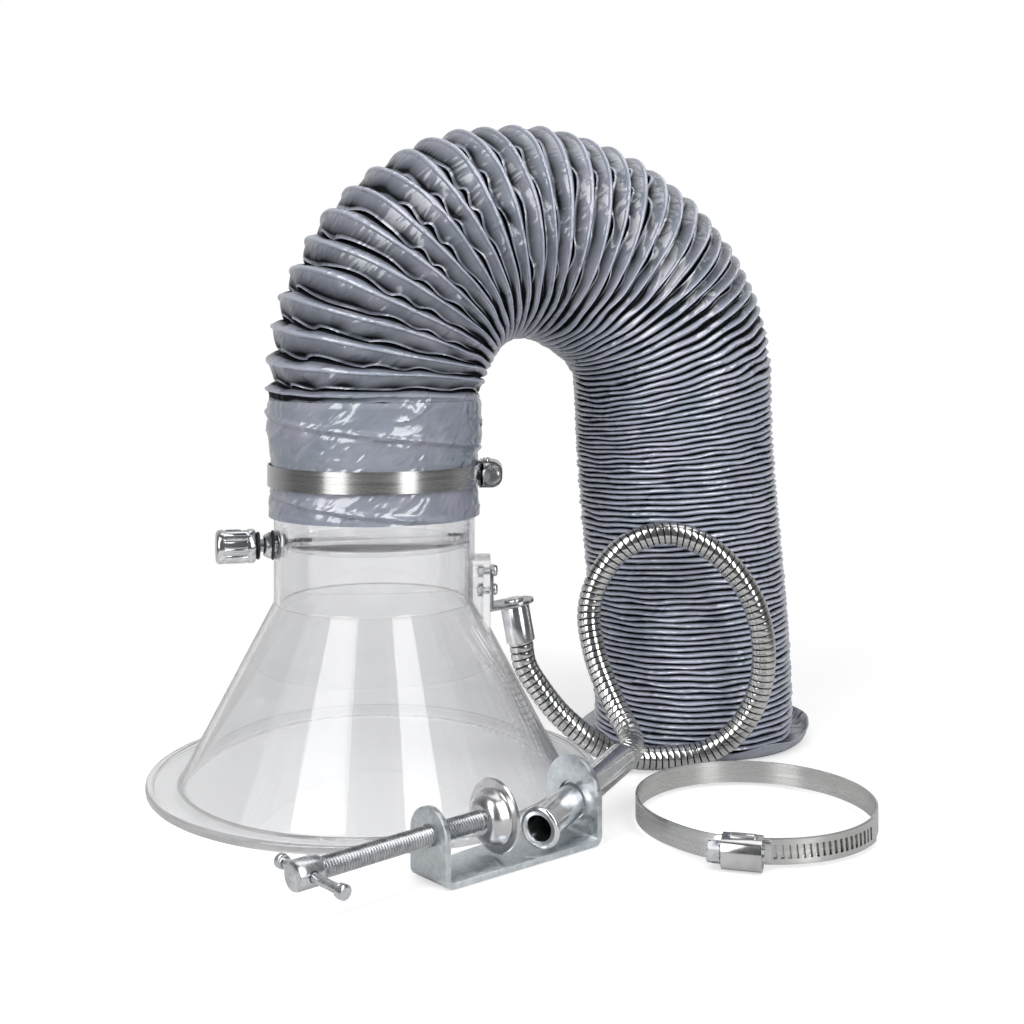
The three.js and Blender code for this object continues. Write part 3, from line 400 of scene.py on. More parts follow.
def black_rubber():
    material, tree, shader = new_material("black_rubber")
    bloom = pattern(tree, 300, 4).outputs["Fac"]
    stops = [(NOISE_LOW, (0.012, 0.012, 0.013)), (NOISE_HIGH, (0.03, 0.03, 0.032))]
    fed(tree, shader, {
        "Base Color": colours(tree, bloom, stops),
        "Roughness": ranged(tree, bloom, 0.5, 0.75),
        "Normal": relief(tree, bloom, 0.00008, 0.4),
    })
    return material


# Each finish is a slot and its material
ACRYLIC = "acrylic", clear_acrylic()
CLOTH = "coated_cloth", coated_cloth()
RUBBER = "rubber", black_rubber()
ZINC = "zinc", spangled_zinc()
CHROME = "chrome", metal("bright_chrome", (0.70, 0.71, 0.73), (0.88, 0.89, 0.90), 0.1, 0.2, 140)
# The nickel and the screws' zinc get painted shade in the grooves of their wound pieces
NICKEL = "chrome", metal("polished_nickel", (0.58, 0.58, 0.57), (0.74, 0.74, 0.73), 0.13, 0.22, 140,
                         groove_shade=0.03)
SCREW_ZINC = "zinc", metal("bright_zinc", (0.55, 0.57, 0.60), (0.82, 0.83, 0.85), 0.2, 0.34, 320,
                           groove_shade=0.5)
STRIP_STEEL = "stainless", rolled_strip()
PRESSED_STEEL = "zinc", metal("pressed_steel", (0.66, 0.66, 0.67), (0.80, 0.80, 0.81), 0.22, 0.32, 90)
BRIGHT_STEEL = "stainless", metal("bright_steel", (0.56, 0.56, 0.56), (0.72, 0.72, 0.72), 0.13, 0.21, 200)
WORN_STEEL = "stainless", metal("plain_steel", (0.42, 0.43, 0.45), (0.70, 0.71, 0.72), 0.16, 0.32, 220)


# Modelling
MERGE = 0.002
SMOOTH_BELOW = math.radians(38)


def alone(piece):
    bpy.ops.object.select_all(action="DESELECT")
    piece.select_set(True)
    bpy.context.view_layer.objects.active = piece


def drawn(name, points):
    """A line through points, left in edit mode with all of it selected."""
    bpy.ops.object.select_all(action="DESELECT")
    bpy.ops.mesh.primitive_plane_add(size=1)
    piece = bpy.context.object
    piece.name = name
    bpy.ops.object.mode_set(mode="EDIT")
    bpy.ops.mesh.merge(type="CENTER")
    here = Vector(points[0])
    bpy.ops.transform.translate(value=here)
    for point in points[1:]:
        step = Vector(point) - here
        bpy.ops.mesh.extrude_vertices_move(TRANSFORM_OT_translate={"value": step})
        here = Vector(point)
    bpy.ops.mesh.select_all(action="SELECT")
    return piece


def closed_up():
    """Weld the mesh in edit mode, turn its faces outwards and leave edit mode."""
    bpy.ops.mesh.select_all(action="SELECT")
    bpy.ops.mesh.remove_doubles(threshold=MERGE)
    bpy.ops.mesh.normals_make_consistent(inside=False)
    bpy.ops.object.mode_set(mode="OBJECT")


def turned(name, profile, steps=72):
    """An outline of (radius, height) points spun about Z."""
    piece = drawn(name, [(radius, 0, height) for radius, height in profile])
    bpy.ops.mesh.spin(steps=steps, angle=TURN, center=(0, 0, 0), axis=(0, 0, 1))
    closed_up()
    return piece


def turned_ring(name, profile, steps=72):
    return turned(name, [*profile, profile[0]], steps)


def plate(name, outline, depth):
    """A flat outline of (x, y) points pushed up along Z."""
    piece = drawn(name, [(x, y, 0) for x, y in outline])
    bpy.ops.mesh.edge_face_add()
    bpy.ops.mesh.extrude_region_move(TRANSFORM_OT_translate={"value": (0, 0, depth)})
    closed_up()
    return piece


def arc(x, y, radius, start, end, steps=16):
    """Points on an arc, with its angles in degrees."""
    angles = [math.radians(start + (end - start) * k / steps) for k in range(steps + 1)]
    return [(x + radius * math.cos(angle), y + radius * math.sin(angle)) for angle in angles]


def block(name, low, high):
    bpy.ops.object.select_all(action="DESELECT")
    bpy.ops.mesh.primitive_cube_add(size=1)
    piece = bpy.context.object
    piece.name = name
    low, high = Vector(low), Vector(high)
    piece.matrix_world = Matrix.Translation((low + high) / 2) @ Matrix.Diagonal((high - low).to_4d())
    bpy.ops.object.transform_apply(location=True, rotation=True, scale=True)
    return piece


def bar(name, radius, start, end, steps=40):
    return turned(name, [(0, start), (radius, start), (radius, end), (0, end)], steps)


def moved(piece, place):
    piece.matrix_world = place
    alone(piece)
    bpy.ops.object.transform_apply(location=True, rotation=True, scale=True)
    return piece


def applied(piece, kind, **settings):
    modifier = piece.modifiers.new(kind.lower(), kind)
    for name, value in settings.items():
        setattr(modifier, name, value)
    alone(piece)
    bpy.ops.object.modifier_apply(modifier=modifier.name)
    return piece


def combined(piece, tool, operation):
    applied(piece, "BOOLEAN", object=tool, operation=operation, solver="EXACT")
    bpy.data.objects.remove(tool)
    return piece


def cut(piece, *tools):
    for tool in tools:
        combined(piece, tool, "DIFFERENCE")
    return piece


def joined(piece, *others):
    for other in others:
        combined(piece, other, "UNION")
    return piece


def common(piece, *others):
    for other in others:
        combined(piece, other, "INTERSECT")
    return piece


def eased(piece, width, segments=2, angle=32):
    """Round the piece's sharp edges."""
    return applied(piece, "BEVEL", width=width, segments=segments, limit_method="ANGLE",
                   angle_limit=math.radians(angle), use_clamp_overlap=True)


def keep(piece, body, nodes, finish, place=None):
    """Set a piece in the frame, give it its finish, and say what it stands for."""
    slot, material = finish
    place = Matrix.Identity(4) if place is None else place
    moved(piece, Matrix.Scale(MM, 4) @ place)
    piece.data.materials.clear()
    piece.data.materials.append(material)
    alone(piece)
    bpy.ops.object.shade_smooth_by_angle(angle=SMOOTH_BELOW)
    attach(piece, body)
    if nodes:
        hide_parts(*nodes)
    return piece


def meshed(name, points, faces, hollow=None):
    """A piece from rows of points and the faces between them, welded."""
    mesh = bpy.data.meshes.new(name)
    mesh.from_pydata(points.reshape(-1, 3).tolist(), [], faces.tolist())
    if hollow is not None:
        depths = mesh.attributes.new(HOLLOW, "FLOAT", "POINT")
        depths.data.foreach_set("value", hollow.ravel().astype(np.float32))
    piece = bpy.data.objects.new(name, mesh)
    bpy.context.scene.collection.objects.link(piece)
    alone(piece)
    bpy.ops.object.mode_set(mode="EDIT")
    closed_up()
    return piece


def grid_faces(rows, columns):
    row, column = np.meshgrid(np.arange(rows - 1), np.arange(columns - 1), indexing="ij")
    corner = (row * columns + column).ravel()
    return np.stack([corner, corner + 1, corner + columns + 1, corner + columns], axis=1)


def unit(value):
    return np.clip(value, 0, 1)


def smooth(value):
    value = unit(value)
    return value * value * (3 - 2 * value)


def waver(along, seed, slowest, fastest, count=6):
    """A value that wanders smoothly about 0, from a few waves per turn of a winding."""
    draw = np.random.default_rng(seed)
    rates = draw.uniform(slowest, fastest, count)
    starts = draw.uniform(0, TURN, count)
    waves = [np.sin(TURN * rate * along + start) for rate, start in zip(rates, starts)]
    return sum(waves) / math.sqrt(count)


def on_circle(frames, radius, angle):
    """Points at a radius and an angle about centres, each with two unit vectors."""
    centre, across, up = frames
    return centre + radius * (np.cos(angle)[..., None] * across + np.sin(angle)[..., None] * up)


def wound(name, frames_at, turns, sides, fractions, radius_of, hand=1, ends=(True, True),
          sway=None, edge_highlight=None):
    """A tube whose section winds round it: fractions are the points of one pitch, from 0 to 1.

    frames_at gives centres and two unit vectors at places counted in turns. radius_of, sway and
    edge_highlight take the turn at which each strand of points starts, the fraction and the angle. sway gives
    how far a point strays along the tube, in turns, and edge_highlight tells, from 0 to 1, where edges get
    painted highlight.
    The points carry their depth, which the finish turns into painted shade. Where ends is true the winding
    stops at a ring.
    """
    first = turns[0] - (1 if ends[0] else 0)
    count = int(round((turns[1] - first) * sides))
    start = (first + np.arange(count + 1) / sides)[:, None] + np.zeros((1, len(fractions)))
    fraction = np.zeros_like(start) + np.asarray(fractions)
    angle = hand * TURN * start
    place = start + fraction
    if sway is not None:
        place = place + sway(start, fraction, angle)
    place = np.clip(place, turns[0] if ends[0] else None, turns[1] if ends[1] else None)
    radius = radius_of(start, fraction, angle)
    # Each point's depth below its strand's crest, for painted shade; edges with painted highlight get a
    # negative depth
    depth = radius.max(axis=1, keepdims=True) - radius
    hollow = (depth / np.maximum(depth.max(axis=1, keepdims=True), 0.3)) ** 1.5
    if edge_highlight is not None:
        edge = edge_highlight(start, fraction, angle)
        hollow = hollow * (1 - edge) - edge
    points = on_circle(frames_at(place), radius[..., None], angle)
    return meshed(name, points, grid_faces(*points.shape[:2]), hollow)


def straight_frames(start, pitch):
    """Frames for a winding along Z from a height."""
    def frames_at(place):
        shape = (*place.shape, 3)
        centre = np.zeros(shape)
        centre[..., 2] = start + pitch * place
        return centre, np.broadcast_to((1.0, 0, 0), shape), np.broadcast_to((0, 1.0, 0), shape)
    return frames_at


def thread(name, radius, depth, pitch, start, end, sides=36):
    """A right-hand screw thread along Z, as an open skin."""
    turns = (end - start) / pitch

    def radius_of(turn, fraction, angle):
        place = np.clip(turn + fraction, 0, turns)
        runout = smooth(np.minimum(place, turns - place) / 0.6)
        tooth = np.abs(2 * fraction - 1)
        return radius - depth * runout * smooth(1.6 * (1 - tooth))
    fractions = (0, 0.2, 0.38, 0.5, 0.62, 0.8, 1)
    return wound(name, straight_frames(start, pitch), (0, turns), sides, fractions, radius_of)


def sleeve(name, profile, sides, change=None):
    """A closed outline of (radius, height) points turned about Z, its radii changed round the turn."""
    outline = np.array([*profile, profile[0]], dtype=float)
    angle = np.linspace(0, TURN, sides + 1)[None, :]
    radius = outline[:, :1] + 0 * angle
    height = outline[:, 1:] + 0 * angle
    if change is not None:
        radius, height = change(radius, height, angle)
    points = np.stack([radius * np.cos(angle), radius * np.sin(angle), height], axis=-1)
    return meshed(name, points, grid_faces(*points.shape[:2]))


def merged(piece, *others):
    """Several loose skins as one piece."""
    alone(piece)
    for other in others:
        other.select_set(True)
    bpy.ops.object.join()
    return piece


def hexagon(across):
    return arc(0, 0, across / 2 / math.cos(math.radians(30)), 0, 300, 5)


def at_height(piece, height):
    return moved(piece, shift(0, 0, height))


SEEN_FROM_SIDE = rotation(90, "X")
ALONG_X = rotation(90, "Y")
ALONG_Y = rotation(-90, "X")
FACING_X = Matrix(((0, 0, 1, 0), (1, 0, 0, 0), (0, 1, 0, 0), (0, 0, 0, 1)))


def along_x_at(height):
    """A frame at a height on Z whose own Z runs along X."""
    return shift(0, 0, height) @ ALONG_X


def hex_nut(name, across, hole, foot, end, sides, ease):
    nut = at_height(plate(name, hexagon(across), end - foot), foot)
    cut(nut, bar("hole", hole, foot - 1, end + 1, sides))
    return eased(nut, ease)


def eased_ring(name, bore, radius, foot, height, ease):
    end = foot + height
    return turned_ring(name, [
        (bore, foot), (radius - ease, foot), (radius, foot + ease), (radius, end - ease),
        (radius - ease, end), (bore, end),
    ])


def side_plate(name, outline, depth):
    """An outline of (x, z) points pushed out evenly to both sides along Y."""
    return moved(plate(name, outline, depth), shift(0, depth / 2, 0) @ SEEN_FROM_SIDE)


# The hood: an acrylic cone with a rolled lip and the neck bonded on its top
RIM = 107.0
CONE_FOOT = 91.5
CONE_TOP = 85.0
NECK = 48.0
BORE = 45.0
NECK_TOP = 180.0
FLANGE = 2.5
LIP_WIDTH = 3.5
LIP_HEIGHT = 4.0
BOND = 0.12
HOOD_SIDES = 144
SHAFT_HOLE = 4.3
PIVOT_HOLE = 3.0


def hood_cone():
    turn = 1.1
    inside = RIM - LIP_WIDTH
    profile = [
        (CONE_FOOT - 3.2, 0.3), (CONE_FOOT - 2.9, 0),
        *arc(RIM - turn, turn, turn, -90, 0, 6),
        *arc(RIM - turn, LIP_HEIGHT - turn, turn, 0, 90, 6),
        *arc(inside + turn, LIP_HEIGHT - turn, turn, 90, 180, 6),
        (inside - 0.3, FLANGE + 0.1), (inside - 0.7, FLANGE), (CONE_FOOT + 1.6, FLANGE),
        (CONE_FOOT + 0.3, FLANGE + 0.25), (CONE_FOOT - 0.5, FLANGE + 1), (NECK + 0.2, CONE_TOP - 0.6),
        (NECK - 0.1, CONE_TOP - BOND), (BORE + 0.1, CONE_TOP - BOND), (BORE - 0.1, CONE_TOP - 0.6),
    ]
    shell = turned_ring("hood_cone_shell", profile, HOOD_SIDES)
    keep(shell, "hood", ["hood_cone"], ACRYLIC, HOOD_FRAME)


def hood_neck():
    ease = 0.4
    profile = [
        (BORE, CONE_TOP + BOND), (NECK, CONE_TOP + BOND), (NECK, NECK_TOP - ease), (NECK - ease, NECK_TOP),
        (BORE + ease, NECK_TOP), (BORE, NECK_TOP - ease),
    ]
    neck = turned_ring("hood_neck_tube", profile, HOOD_SIDES)
    into_neck = HOOD_FRAME.inverted() @ DAMPER_FRAME
    shaft_hole = moved(bar("hole", SHAFT_HOLE, 30, 60, 32), into_neck)
    pivot_hole = moved(bar("hole", PIVOT_HOLE, -60, -30, 32), into_neck)
    cut(neck, shaft_hole, pivot_hole)
    keep(neck, "hood", ["hood_neck"], ACRYLIC, HOOD_FRAME)


# The butterfly damper, in a frame whose Z runs out to the knob and whose Y is up
DAMPER_FRAME = standing(*joint("damper_turn"))
DISC = 43.3
DISC_THICKNESS = 2.4
NOTCH_EDGE = 40.05
NOTCH_HALF = 7.55
NUT_FOOT = 42.05
NUT_END = 44.25
GASKET_FOOT = 48.3
BUSHING_FOOT = 49.5
BUSHING_END = 53.1
COLLAR_FOOT = 54.9
KNOB = 8.0
KNOB_FOOT = 56.6
KNOB_END = 75.1
SHAFT = 3.0
SHAFT_TIP = 30.05
PIVOT = 2.7
PIVOT_TIP = 36.3
PIVOT_END = 48.6
SHAFT_RIVET = 35.05
PIVOT_RIVET = -39.8


def damper_disc():
    notch = math.degrees(math.asin(NOTCH_HALF / DISC))
    outline = [
        *arc(0, 0, DISC, notch, 360 - notch, 96), (NOTCH_EDGE, -NOTCH_HALF), (NOTCH_EDGE, NOTCH_HALF),
    ]
    disc = at_height(plate("damper_plate", outline, DISC_THICKNESS), -DISC_THICKNESS / 2)
    holes = [bar("hole", 1.0, -4, 4, 16) for _ in range(2)]
    for hole, place in zip(holes, (SHAFT_RIVET, PIVOT_RIVET)):
        cut(disc, moved(hole, shift(place, 0, 0)))
    eased(disc, 0.3)
    upright = Matrix(((0, 1, 0, 0), (0, 0, 1, 0), (1, 0, 0, 0), (0, 0, 0, 1)))
    keep(disc, "damper", ["damper_disc"], ACRYLIC, DAMPER_FRAME @ upright)


def slotted_stub(name, radius, start, end, slot, node):
    stub = bar(name, radius, start, end, 48)
    width = DISC_THICKNESS / 2 + 0.3
    cut(stub, block("slot", (-2 * radius, -width, slot[0]), (2 * radius, width, slot[1])))
    eased(stub, 0.3)
    keep(stub, "damper", [node], WORN_STEEL, DAMPER_FRAME)


def rivet(name, place, half, node):
    profile = [(0, -half), (0.8, -half), (0.8, half - 0.1), (0.55, half + 0.15), (0, half + 0.2)]
    body = turned(name, profile, 24)
    upright = shift(0, 0, place) @ ALONG_Y
    keep(body, "damper", [node], WORN_STEEL, DAMPER_FRAME @ upright)


def damper_knob():
    flutes = 14
    flute_depth = 0.75
    fluted_from, fluted_to = KNOB_FOOT + 4.2, KNOB_END - 4.0
    profile = [
        (0, KNOB_FOOT), (KNOB - 1.6, KNOB_FOOT), (KNOB - 0.5, KNOB_FOOT + 0.5), (KNOB, KNOB_FOOT + 1.2),
        (KNOB, fluted_from - 0.7), (KNOB - 0.35, fluted_from - 0.35), (KNOB - 0.35, fluted_from),
        (KNOB, fluted_from + 0.3), (KNOB, (fluted_from + fluted_to) / 2), (KNOB, fluted_to - 0.3),
        (KNOB - 0.35, fluted_to), (KNOB - 0.35, fluted_to + 0.35), (KNOB, fluted_to + 0.7),
        (KNOB, KNOB_END - 1.6), (KNOB - 0.4, KNOB_END - 0.7), (KNOB - 1.3, KNOB_END - 0.1),
        (KNOB - 2.2, KNOB_END), (0, KNOB_END),
    ]

    def change(radius, height, angle):
        between = (height > fluted_from + 0.1) & (height < fluted_to - 0.1)
        groove = unit(np.cos(flutes * angle)) ** 0.8
        return radius - flute_depth * between * groove, height
    knob = sleeve("knob_grip", profile, 16 * flutes, change)
    keep(knob, "damper", ["damper_knob"], CHROME, DAMPER_FRAME)


def damper_fittings():
    bore = 3.25
    bushing = turned_ring("bushing", [
        (bore, NUT_FOOT - 0.6), (3.7, NUT_FOOT - 0.6), (4.0, NUT_FOOT - 0.3), (4.0, BUSHING_FOOT),
        (6.0, BUSHING_FOOT), (6.25, BUSHING_FOOT + 0.25), (6.25, BUSHING_FOOT + 1.1),
        (6.0, BUSHING_FOOT + 1.4), (4.9, BUSHING_END - 0.2), (4.6, BUSHING_END), (bore, BUSHING_END),
    ])
    keep(bushing, "hood", ["shaft_bushing"], CHROME, DAMPER_FRAME)
    gasket = eased_ring("gasket", SHAFT_HOLE, 7.0, GASKET_FOOT, 0.9, 0.2)
    keep(gasket, "hood", ["shaft_gasket"], RUBBER, DAMPER_FRAME)
    nut = hex_nut("bushing_nut", 11, 4.2, NUT_FOOT, NUT_END, 48, 0.3)
    keep(nut, "hood", ["shaft_nut"], CHROME, DAMPER_FRAME)
    collar = eased_ring("collar", bore, 6.5, COLLAR_FOOT, 1.4, 0.4)
    keep(collar, "damper", ["knob_collar"], RUBBER, DAMPER_FRAME)


def damper():
    damper_disc()
    shaft_slot = (SHAFT_TIP - 1, NOTCH_EDGE + 0.3)
    slotted_stub("shaft", SHAFT, SHAFT_TIP, KNOB_FOOT + 4, shaft_slot, "damper_shaft")
    pivot_slot = (-DISC - 0.3, 1 - PIVOT_TIP)
    slotted_stub("pivot", PIVOT, -PIVOT_END, -PIVOT_TIP, pivot_slot, "damper_pivot")
    rivet("rivet_at_shaft", SHAFT_RIVET, SHAFT, "shaft_rivet")
    rivet("rivet_at_pivot", PIVOT_RIVET, PIVOT, "pivot_rivet")
    damper_knob()
    damper_fittings()


# The arm's bracket, hanger and ferrule, on the hood's right
BRACKET_FACE = 55.5
BRACKET_HALF = 11.0
BRACKET_WALL = 3.0
BRACKET_TOP = 105.0
SCREW_HEIGHTS = (89.6, 98.6)
HANGER_FOOT = 80.5
HANGER_TOP = 100.5
HANGER_HALF = 9.5
HANGER_SHEET = 1.6
HANGER_TILT = 10
HANGER_SHELF = 11.0
TUBE = 6.9
SOCKET = 6.1
SOCKET_DEPTH = 11.0
SCREW_HOLE = 1.8
FERRULE_LENGTH = 18.0
SHELF_PLACE = shift(BRACKET_FACE + HANGER_SHEET / 2, 0, HANGER_FOOT)
SHELF_FRAME = HOOD_FRAME @ SHELF_PLACE @ rotation(-HANGER_TILT, "Y")
FERRULE_FRAME = SHELF_FRAME @ shift(HANGER_SHELF, 0, 0)


def hood_outside(fit):
    return turned("hood_outside", [
        (0, -1), (RIM, -1), (CONE_FOOT + fit, FLANGE), (NECK + fit, CONE_TOP), (NECK + fit, NECK_TOP),
        (0, NECK_TOP),
    ], HOOD_SIDES)


def screw_holes(start, end):
    return [moved(bar("hole", SCREW_HOLE, start, end, 24), along_x_at(height)) for height in SCREW_HEIGHTS]


def hood_bracket():
    hollow = BRACKET_HALF - BRACKET_WALL
    box = block("bracket_box", (30, -BRACKET_HALF, 60), (BRACKET_FACE, BRACKET_HALF, BRACKET_TOP))
    inside = block("inside", (20, -hollow, 50),
                   (BRACKET_FACE - BRACKET_WALL, hollow, BRACKET_TOP - BRACKET_WALL))
    cut(box, hood_outside(0.15), inside, *screw_holes(NECK, BRACKET_FACE + 1))
    eased(box, 0.45, 3)
    keep(box, "hood", ["hood_bracket"], ACRYLIC, HOOD_FRAME)


def arm_hanger():
    corner = 3.0
    tall = HANGER_TOP - HANGER_FOOT
    leg = plate("hanger", [
        (-HANGER_HALF, 0), (HANGER_HALF, 0),
        *arc(HANGER_HALF - corner, tall - corner, corner, 0, 90, 8),
        *arc(corner - HANGER_HALF, tall - corner, corner, 90, 180, 8),
    ], HANGER_SHEET)
    moved(leg, shift(BRACKET_FACE, 0, HANGER_FOOT) @ FACING_X)
    shelf = plate("shelf", [
        (0, -HANGER_HALF), *arc(HANGER_SHELF, 0, HANGER_HALF, -90, 90, 32), (0, HANGER_HALF),
    ], HANGER_SHEET)
    moved(shelf, HOOD_FRAME.inverted() @ SHELF_FRAME)
    joined(leg, shelf)
    inside = block("inside", (BRACKET_FACE - 9, -20, HANGER_FOOT - 9),
                   (BRACKET_FACE + 0.02, 20, BRACKET_TOP))
    stud_hole = moved(bar("hole", 3.3, -3, 3, 32), HOOD_FRAME.inverted() @ FERRULE_FRAME)
    cut(leg, inside, stud_hole, *screw_holes(BRACKET_FACE - 1, BRACKET_FACE + 4))
    eased(leg, 0.3)
    keep(leg, "hood", ["arm_hanger"], WORN_STEEL, HOOD_FRAME)


def bracket_screw(number, height):
    foot = BRACKET_FACE + HANGER_SHEET + 0.05
    nut_end = BRACKET_FACE - BRACKET_WALL - 0.1
    nut_foot = nut_end - 2
    screw = turned("pan_screw_%d" % number, [
        (0, nut_foot - 0.5), (1.2, nut_foot - 0.5), (1.5, nut_foot - 0.2), (1.5, foot), (2.7, foot),
        (2.8, foot + 0.15), (2.75, foot + 0.9), (2.45, foot + 1.45), (1.9, foot + 1.8), (1, foot + 1.98),
        (0, foot + 2.02),
    ], 40)
    for turn in (20, 110):
        recess = block("recess", (-1.7, -0.35, foot + 1.1), (1.7, 0.35, foot + 3))
        cut(screw, moved(recess, rotation(turn, "Z")))
    place = HOOD_FRAME @ along_x_at(height)
    keep(screw, "hood", ["bracket_screw_%d" % number], CHROME, place)
    nut = hex_nut("screw_nut_%d" % number, 5.5, 1.65, nut_foot, nut_end, 32, 0.2)
    keep(nut, "hood", ["bracket_nut_%d" % number], WORN_STEEL, place)


def hood_ferrule():
    socket_end = SOCKET_DEPTH - FERRULE_LENGTH
    head = HANGER_SHEET + 0.1
    profile = [
        (0, socket_end), (SOCKET, socket_end), (SOCKET, -FERRULE_LENGTH + 0.2),
        (SOCKET + 0.2, -FERRULE_LENGTH), (TUBE - 0.2, -FERRULE_LENGTH), (TUBE, -FERRULE_LENGTH + 0.2),
        (TUBE, -1.6), (TUBE - 0.35, -0.6), (TUBE - 1.2, -0.1), (3.0, -0.1), (3.0, head), (4.6, head),
        (4.75, head + 0.25), (4.5, head + 0.8), (3.4, head + 1.4), (1.6, head + 1.6), (0, head + 1.62),
    ]
    keep(turned("arm_ferrule", profile, 64), "hood", ["hood_ferrule"], CHROME, FERRULE_FRAME)


def arm_bracket():
    hood_bracket()
    arm_hanger()
    for number, height in enumerate(SCREW_HEIGHTS, 1):
        bracket_screw(number, height)
    hood_ferrule()


# The table clamp: a bent zinc plate, its screw spindle, pressed pad and tommy bar
SPINDLE_PLACE, CLAMP_LINE = joint("spindle_turn")
CLAMP_FRAME = lying_frame(Vector((SPINDLE_PLACE.x, SPINDLE_PLACE.y, 0)), CLAMP_LINE)
SPINDLE_FRAME = standing(SPINDLE_PLACE, CLAMP_LINE)
SPINDLE_HEIGHT = SPINDLE_PLACE.z
CLAMP_LENGTH = 80.0
CLAMP_PLATE = 2.5
CLAMP_BEND = 4.0
FRONT_EAR_HALF = 11.0
REAR_EAR_HALF = 15.5
TUBE_HEIGHT = 15.5
TUBE_HOLE = 8.05
SPINDLE_HOLE = 4.3
SPINDLE = 4.0
THREAD_DEPTH = 0.68
THREAD_PITCH = 1.25
SPINDLE_OUT = 50.0
SPINDLE_HEAD_END = -62.0
TOMMY_AT = -56.0
TOMMY_SHIFT = -4.0
TOMMY_END = 19.0
PAD_FOOT = 26.0
PAD_FACE = 35.0
PAD_SHEET = 1.6


def ear_outline(half):
    return [(-half, -1), (half, -1), *arc(0, SPINDLE_HEIGHT, half, 0, 180, 40)]


def clamp_bracket():
    tall = SPINDLE_HEIGHT + 2 * REAR_EAR_HALF
    inner = CLAMP_BEND - CLAMP_PLATE
    far = CLAMP_LENGTH - CLAMP_BEND
    strip = side_plate("bent_plate", [
        (0, tall), *arc(CLAMP_BEND, CLAMP_BEND, CLAMP_BEND, 180, 270, 10),
        *arc(far, CLAMP_BEND, CLAMP_BEND, 270, 360, 10), (CLAMP_LENGTH, tall),
        (CLAMP_LENGTH - CLAMP_PLATE, tall), *arc(far, CLAMP_BEND, inner, 0, -90, 8),
        *arc(CLAMP_BEND, CLAMP_BEND, inner, -90, -180, 8), (CLAMP_PLATE, tall),
    ], 4 * REAR_EAR_HALF)
    plan = at_height(plate("plan", [
        (-1, -FRONT_EAR_HALF), (CLAMP_PLATE, -FRONT_EAR_HALF), (CLAMP_LENGTH - CLAMP_PLATE, -REAR_EAR_HALF),
        (CLAMP_LENGTH + 1, -REAR_EAR_HALF), (CLAMP_LENGTH + 1, REAR_EAR_HALF),
        (CLAMP_LENGTH - CLAMP_PLATE, REAR_EAR_HALF), (CLAMP_PLATE, FRONT_EAR_HALF), (-1, FRONT_EAR_HALF),
    ], 2 * tall), -1)
    front = plate("front_ear", ear_outline(FRONT_EAR_HALF), CLAMP_BEND + 2)
    moved(front, shift(-1, 0, 0) @ FACING_X)
    rear = plate("rear_ear", ear_outline(REAR_EAR_HALF), CLAMP_BEND + 2)
    moved(rear, shift(far - 1, 0, 0) @ FACING_X)
    base = block("base", (CLAMP_BEND, -20, -2), (far, 20, 2 * CLAMP_PLATE))
    common(strip, plan, joined(base, front, rear))
    spindle_hole = moved(bar("hole", SPINDLE_HOLE, -1, CLAMP_BEND, 48), along_x_at(SPINDLE_HEIGHT))
    tube_hole = moved(bar("hole", TUBE_HOLE, far - 1, CLAMP_LENGTH + 1, 64), along_x_at(TUBE_HEIGHT))
    cut(strip, spindle_hole, tube_hole)
    eased(strip, 0.35, 2)
    keep(strip, "table_clamp", ["clamp_bracket"], ZINC, CLAMP_FRAME)


def clamp_spindle():
    head = 5.7
    shoulder = PAD_FOOT - 0.15
    rivet_foot = PAD_FOOT + PAD_SHEET + 0.15
    core = turned("spindle", [
        (0, SPINDLE_HEAD_END), (head - 1.4, SPINDLE_HEAD_END), (head - 0.4, SPINDLE_HEAD_END + 0.5),
        (head, SPINDLE_HEAD_END + 1.5), (head, -SPINDLE_OUT - 1.6), (head - 0.5, -SPINDLE_OUT - 0.5),
        (head - 1.4, -SPINDLE_OUT), (3.2, -SPINDLE_OUT), (3.2, shoulder), (3.0, shoulder),
        (3.0, rivet_foot), (4.5, rivet_foot), (4.4, rivet_foot + 0.7), (3.6, rivet_foot + 1.3),
        (0, rivet_foot + 1.4),
    ], 56)
    tommy_hole = moved(bar("hole", 2.05, -8, 8, 40), along_x_at(TOMMY_AT))
    cut(core, tommy_hole)
    screw = thread("spindle_thread", SPINDLE, THREAD_DEPTH, THREAD_PITCH, -SPINDLE_OUT, shoulder)
    keep(merged(core, screw), "spindle", ["clamp_spindle"], SCREW_ZINC, SPINDLE_FRAME)


def pad_dish():
    crown = 10.5
    edge = 15.0
    back = PAD_FACE - PAD_SHEET
    profile = [
        (3.3, PAD_FOOT), (crown * 0.5, PAD_FOOT), (crown * 0.68, PAD_FOOT + 0.35),
        (crown * 0.82, PAD_FOOT + 1.4), (crown * 0.93, PAD_FOOT + 3), (crown, PAD_FOOT + 5.2),
        (crown + 0.25, back - 0.7), (crown + 0.9, back), (edge - 0.5, back), (edge, back + 0.5),
        (edge, PAD_FACE - 0.5), (edge - 0.5, PAD_FACE), (crown - 0.2, PAD_FACE), (crown - 1.2, PAD_FACE - 1),
        (crown - 1.5, PAD_FOOT + 5.4), (crown * 0.78, PAD_FOOT + 3.2), (crown * 0.6, PAD_FOOT + 1.9),
        (crown * 0.5, PAD_FOOT + PAD_SHEET), (3.3, PAD_FOOT + PAD_SHEET),
    ]
    pad = turned_ring("pressed_pad", profile, 80)
    keep(pad, "pressure_pad", ["pad_dish"], PRESSED_STEEL, SPINDLE_FRAME)


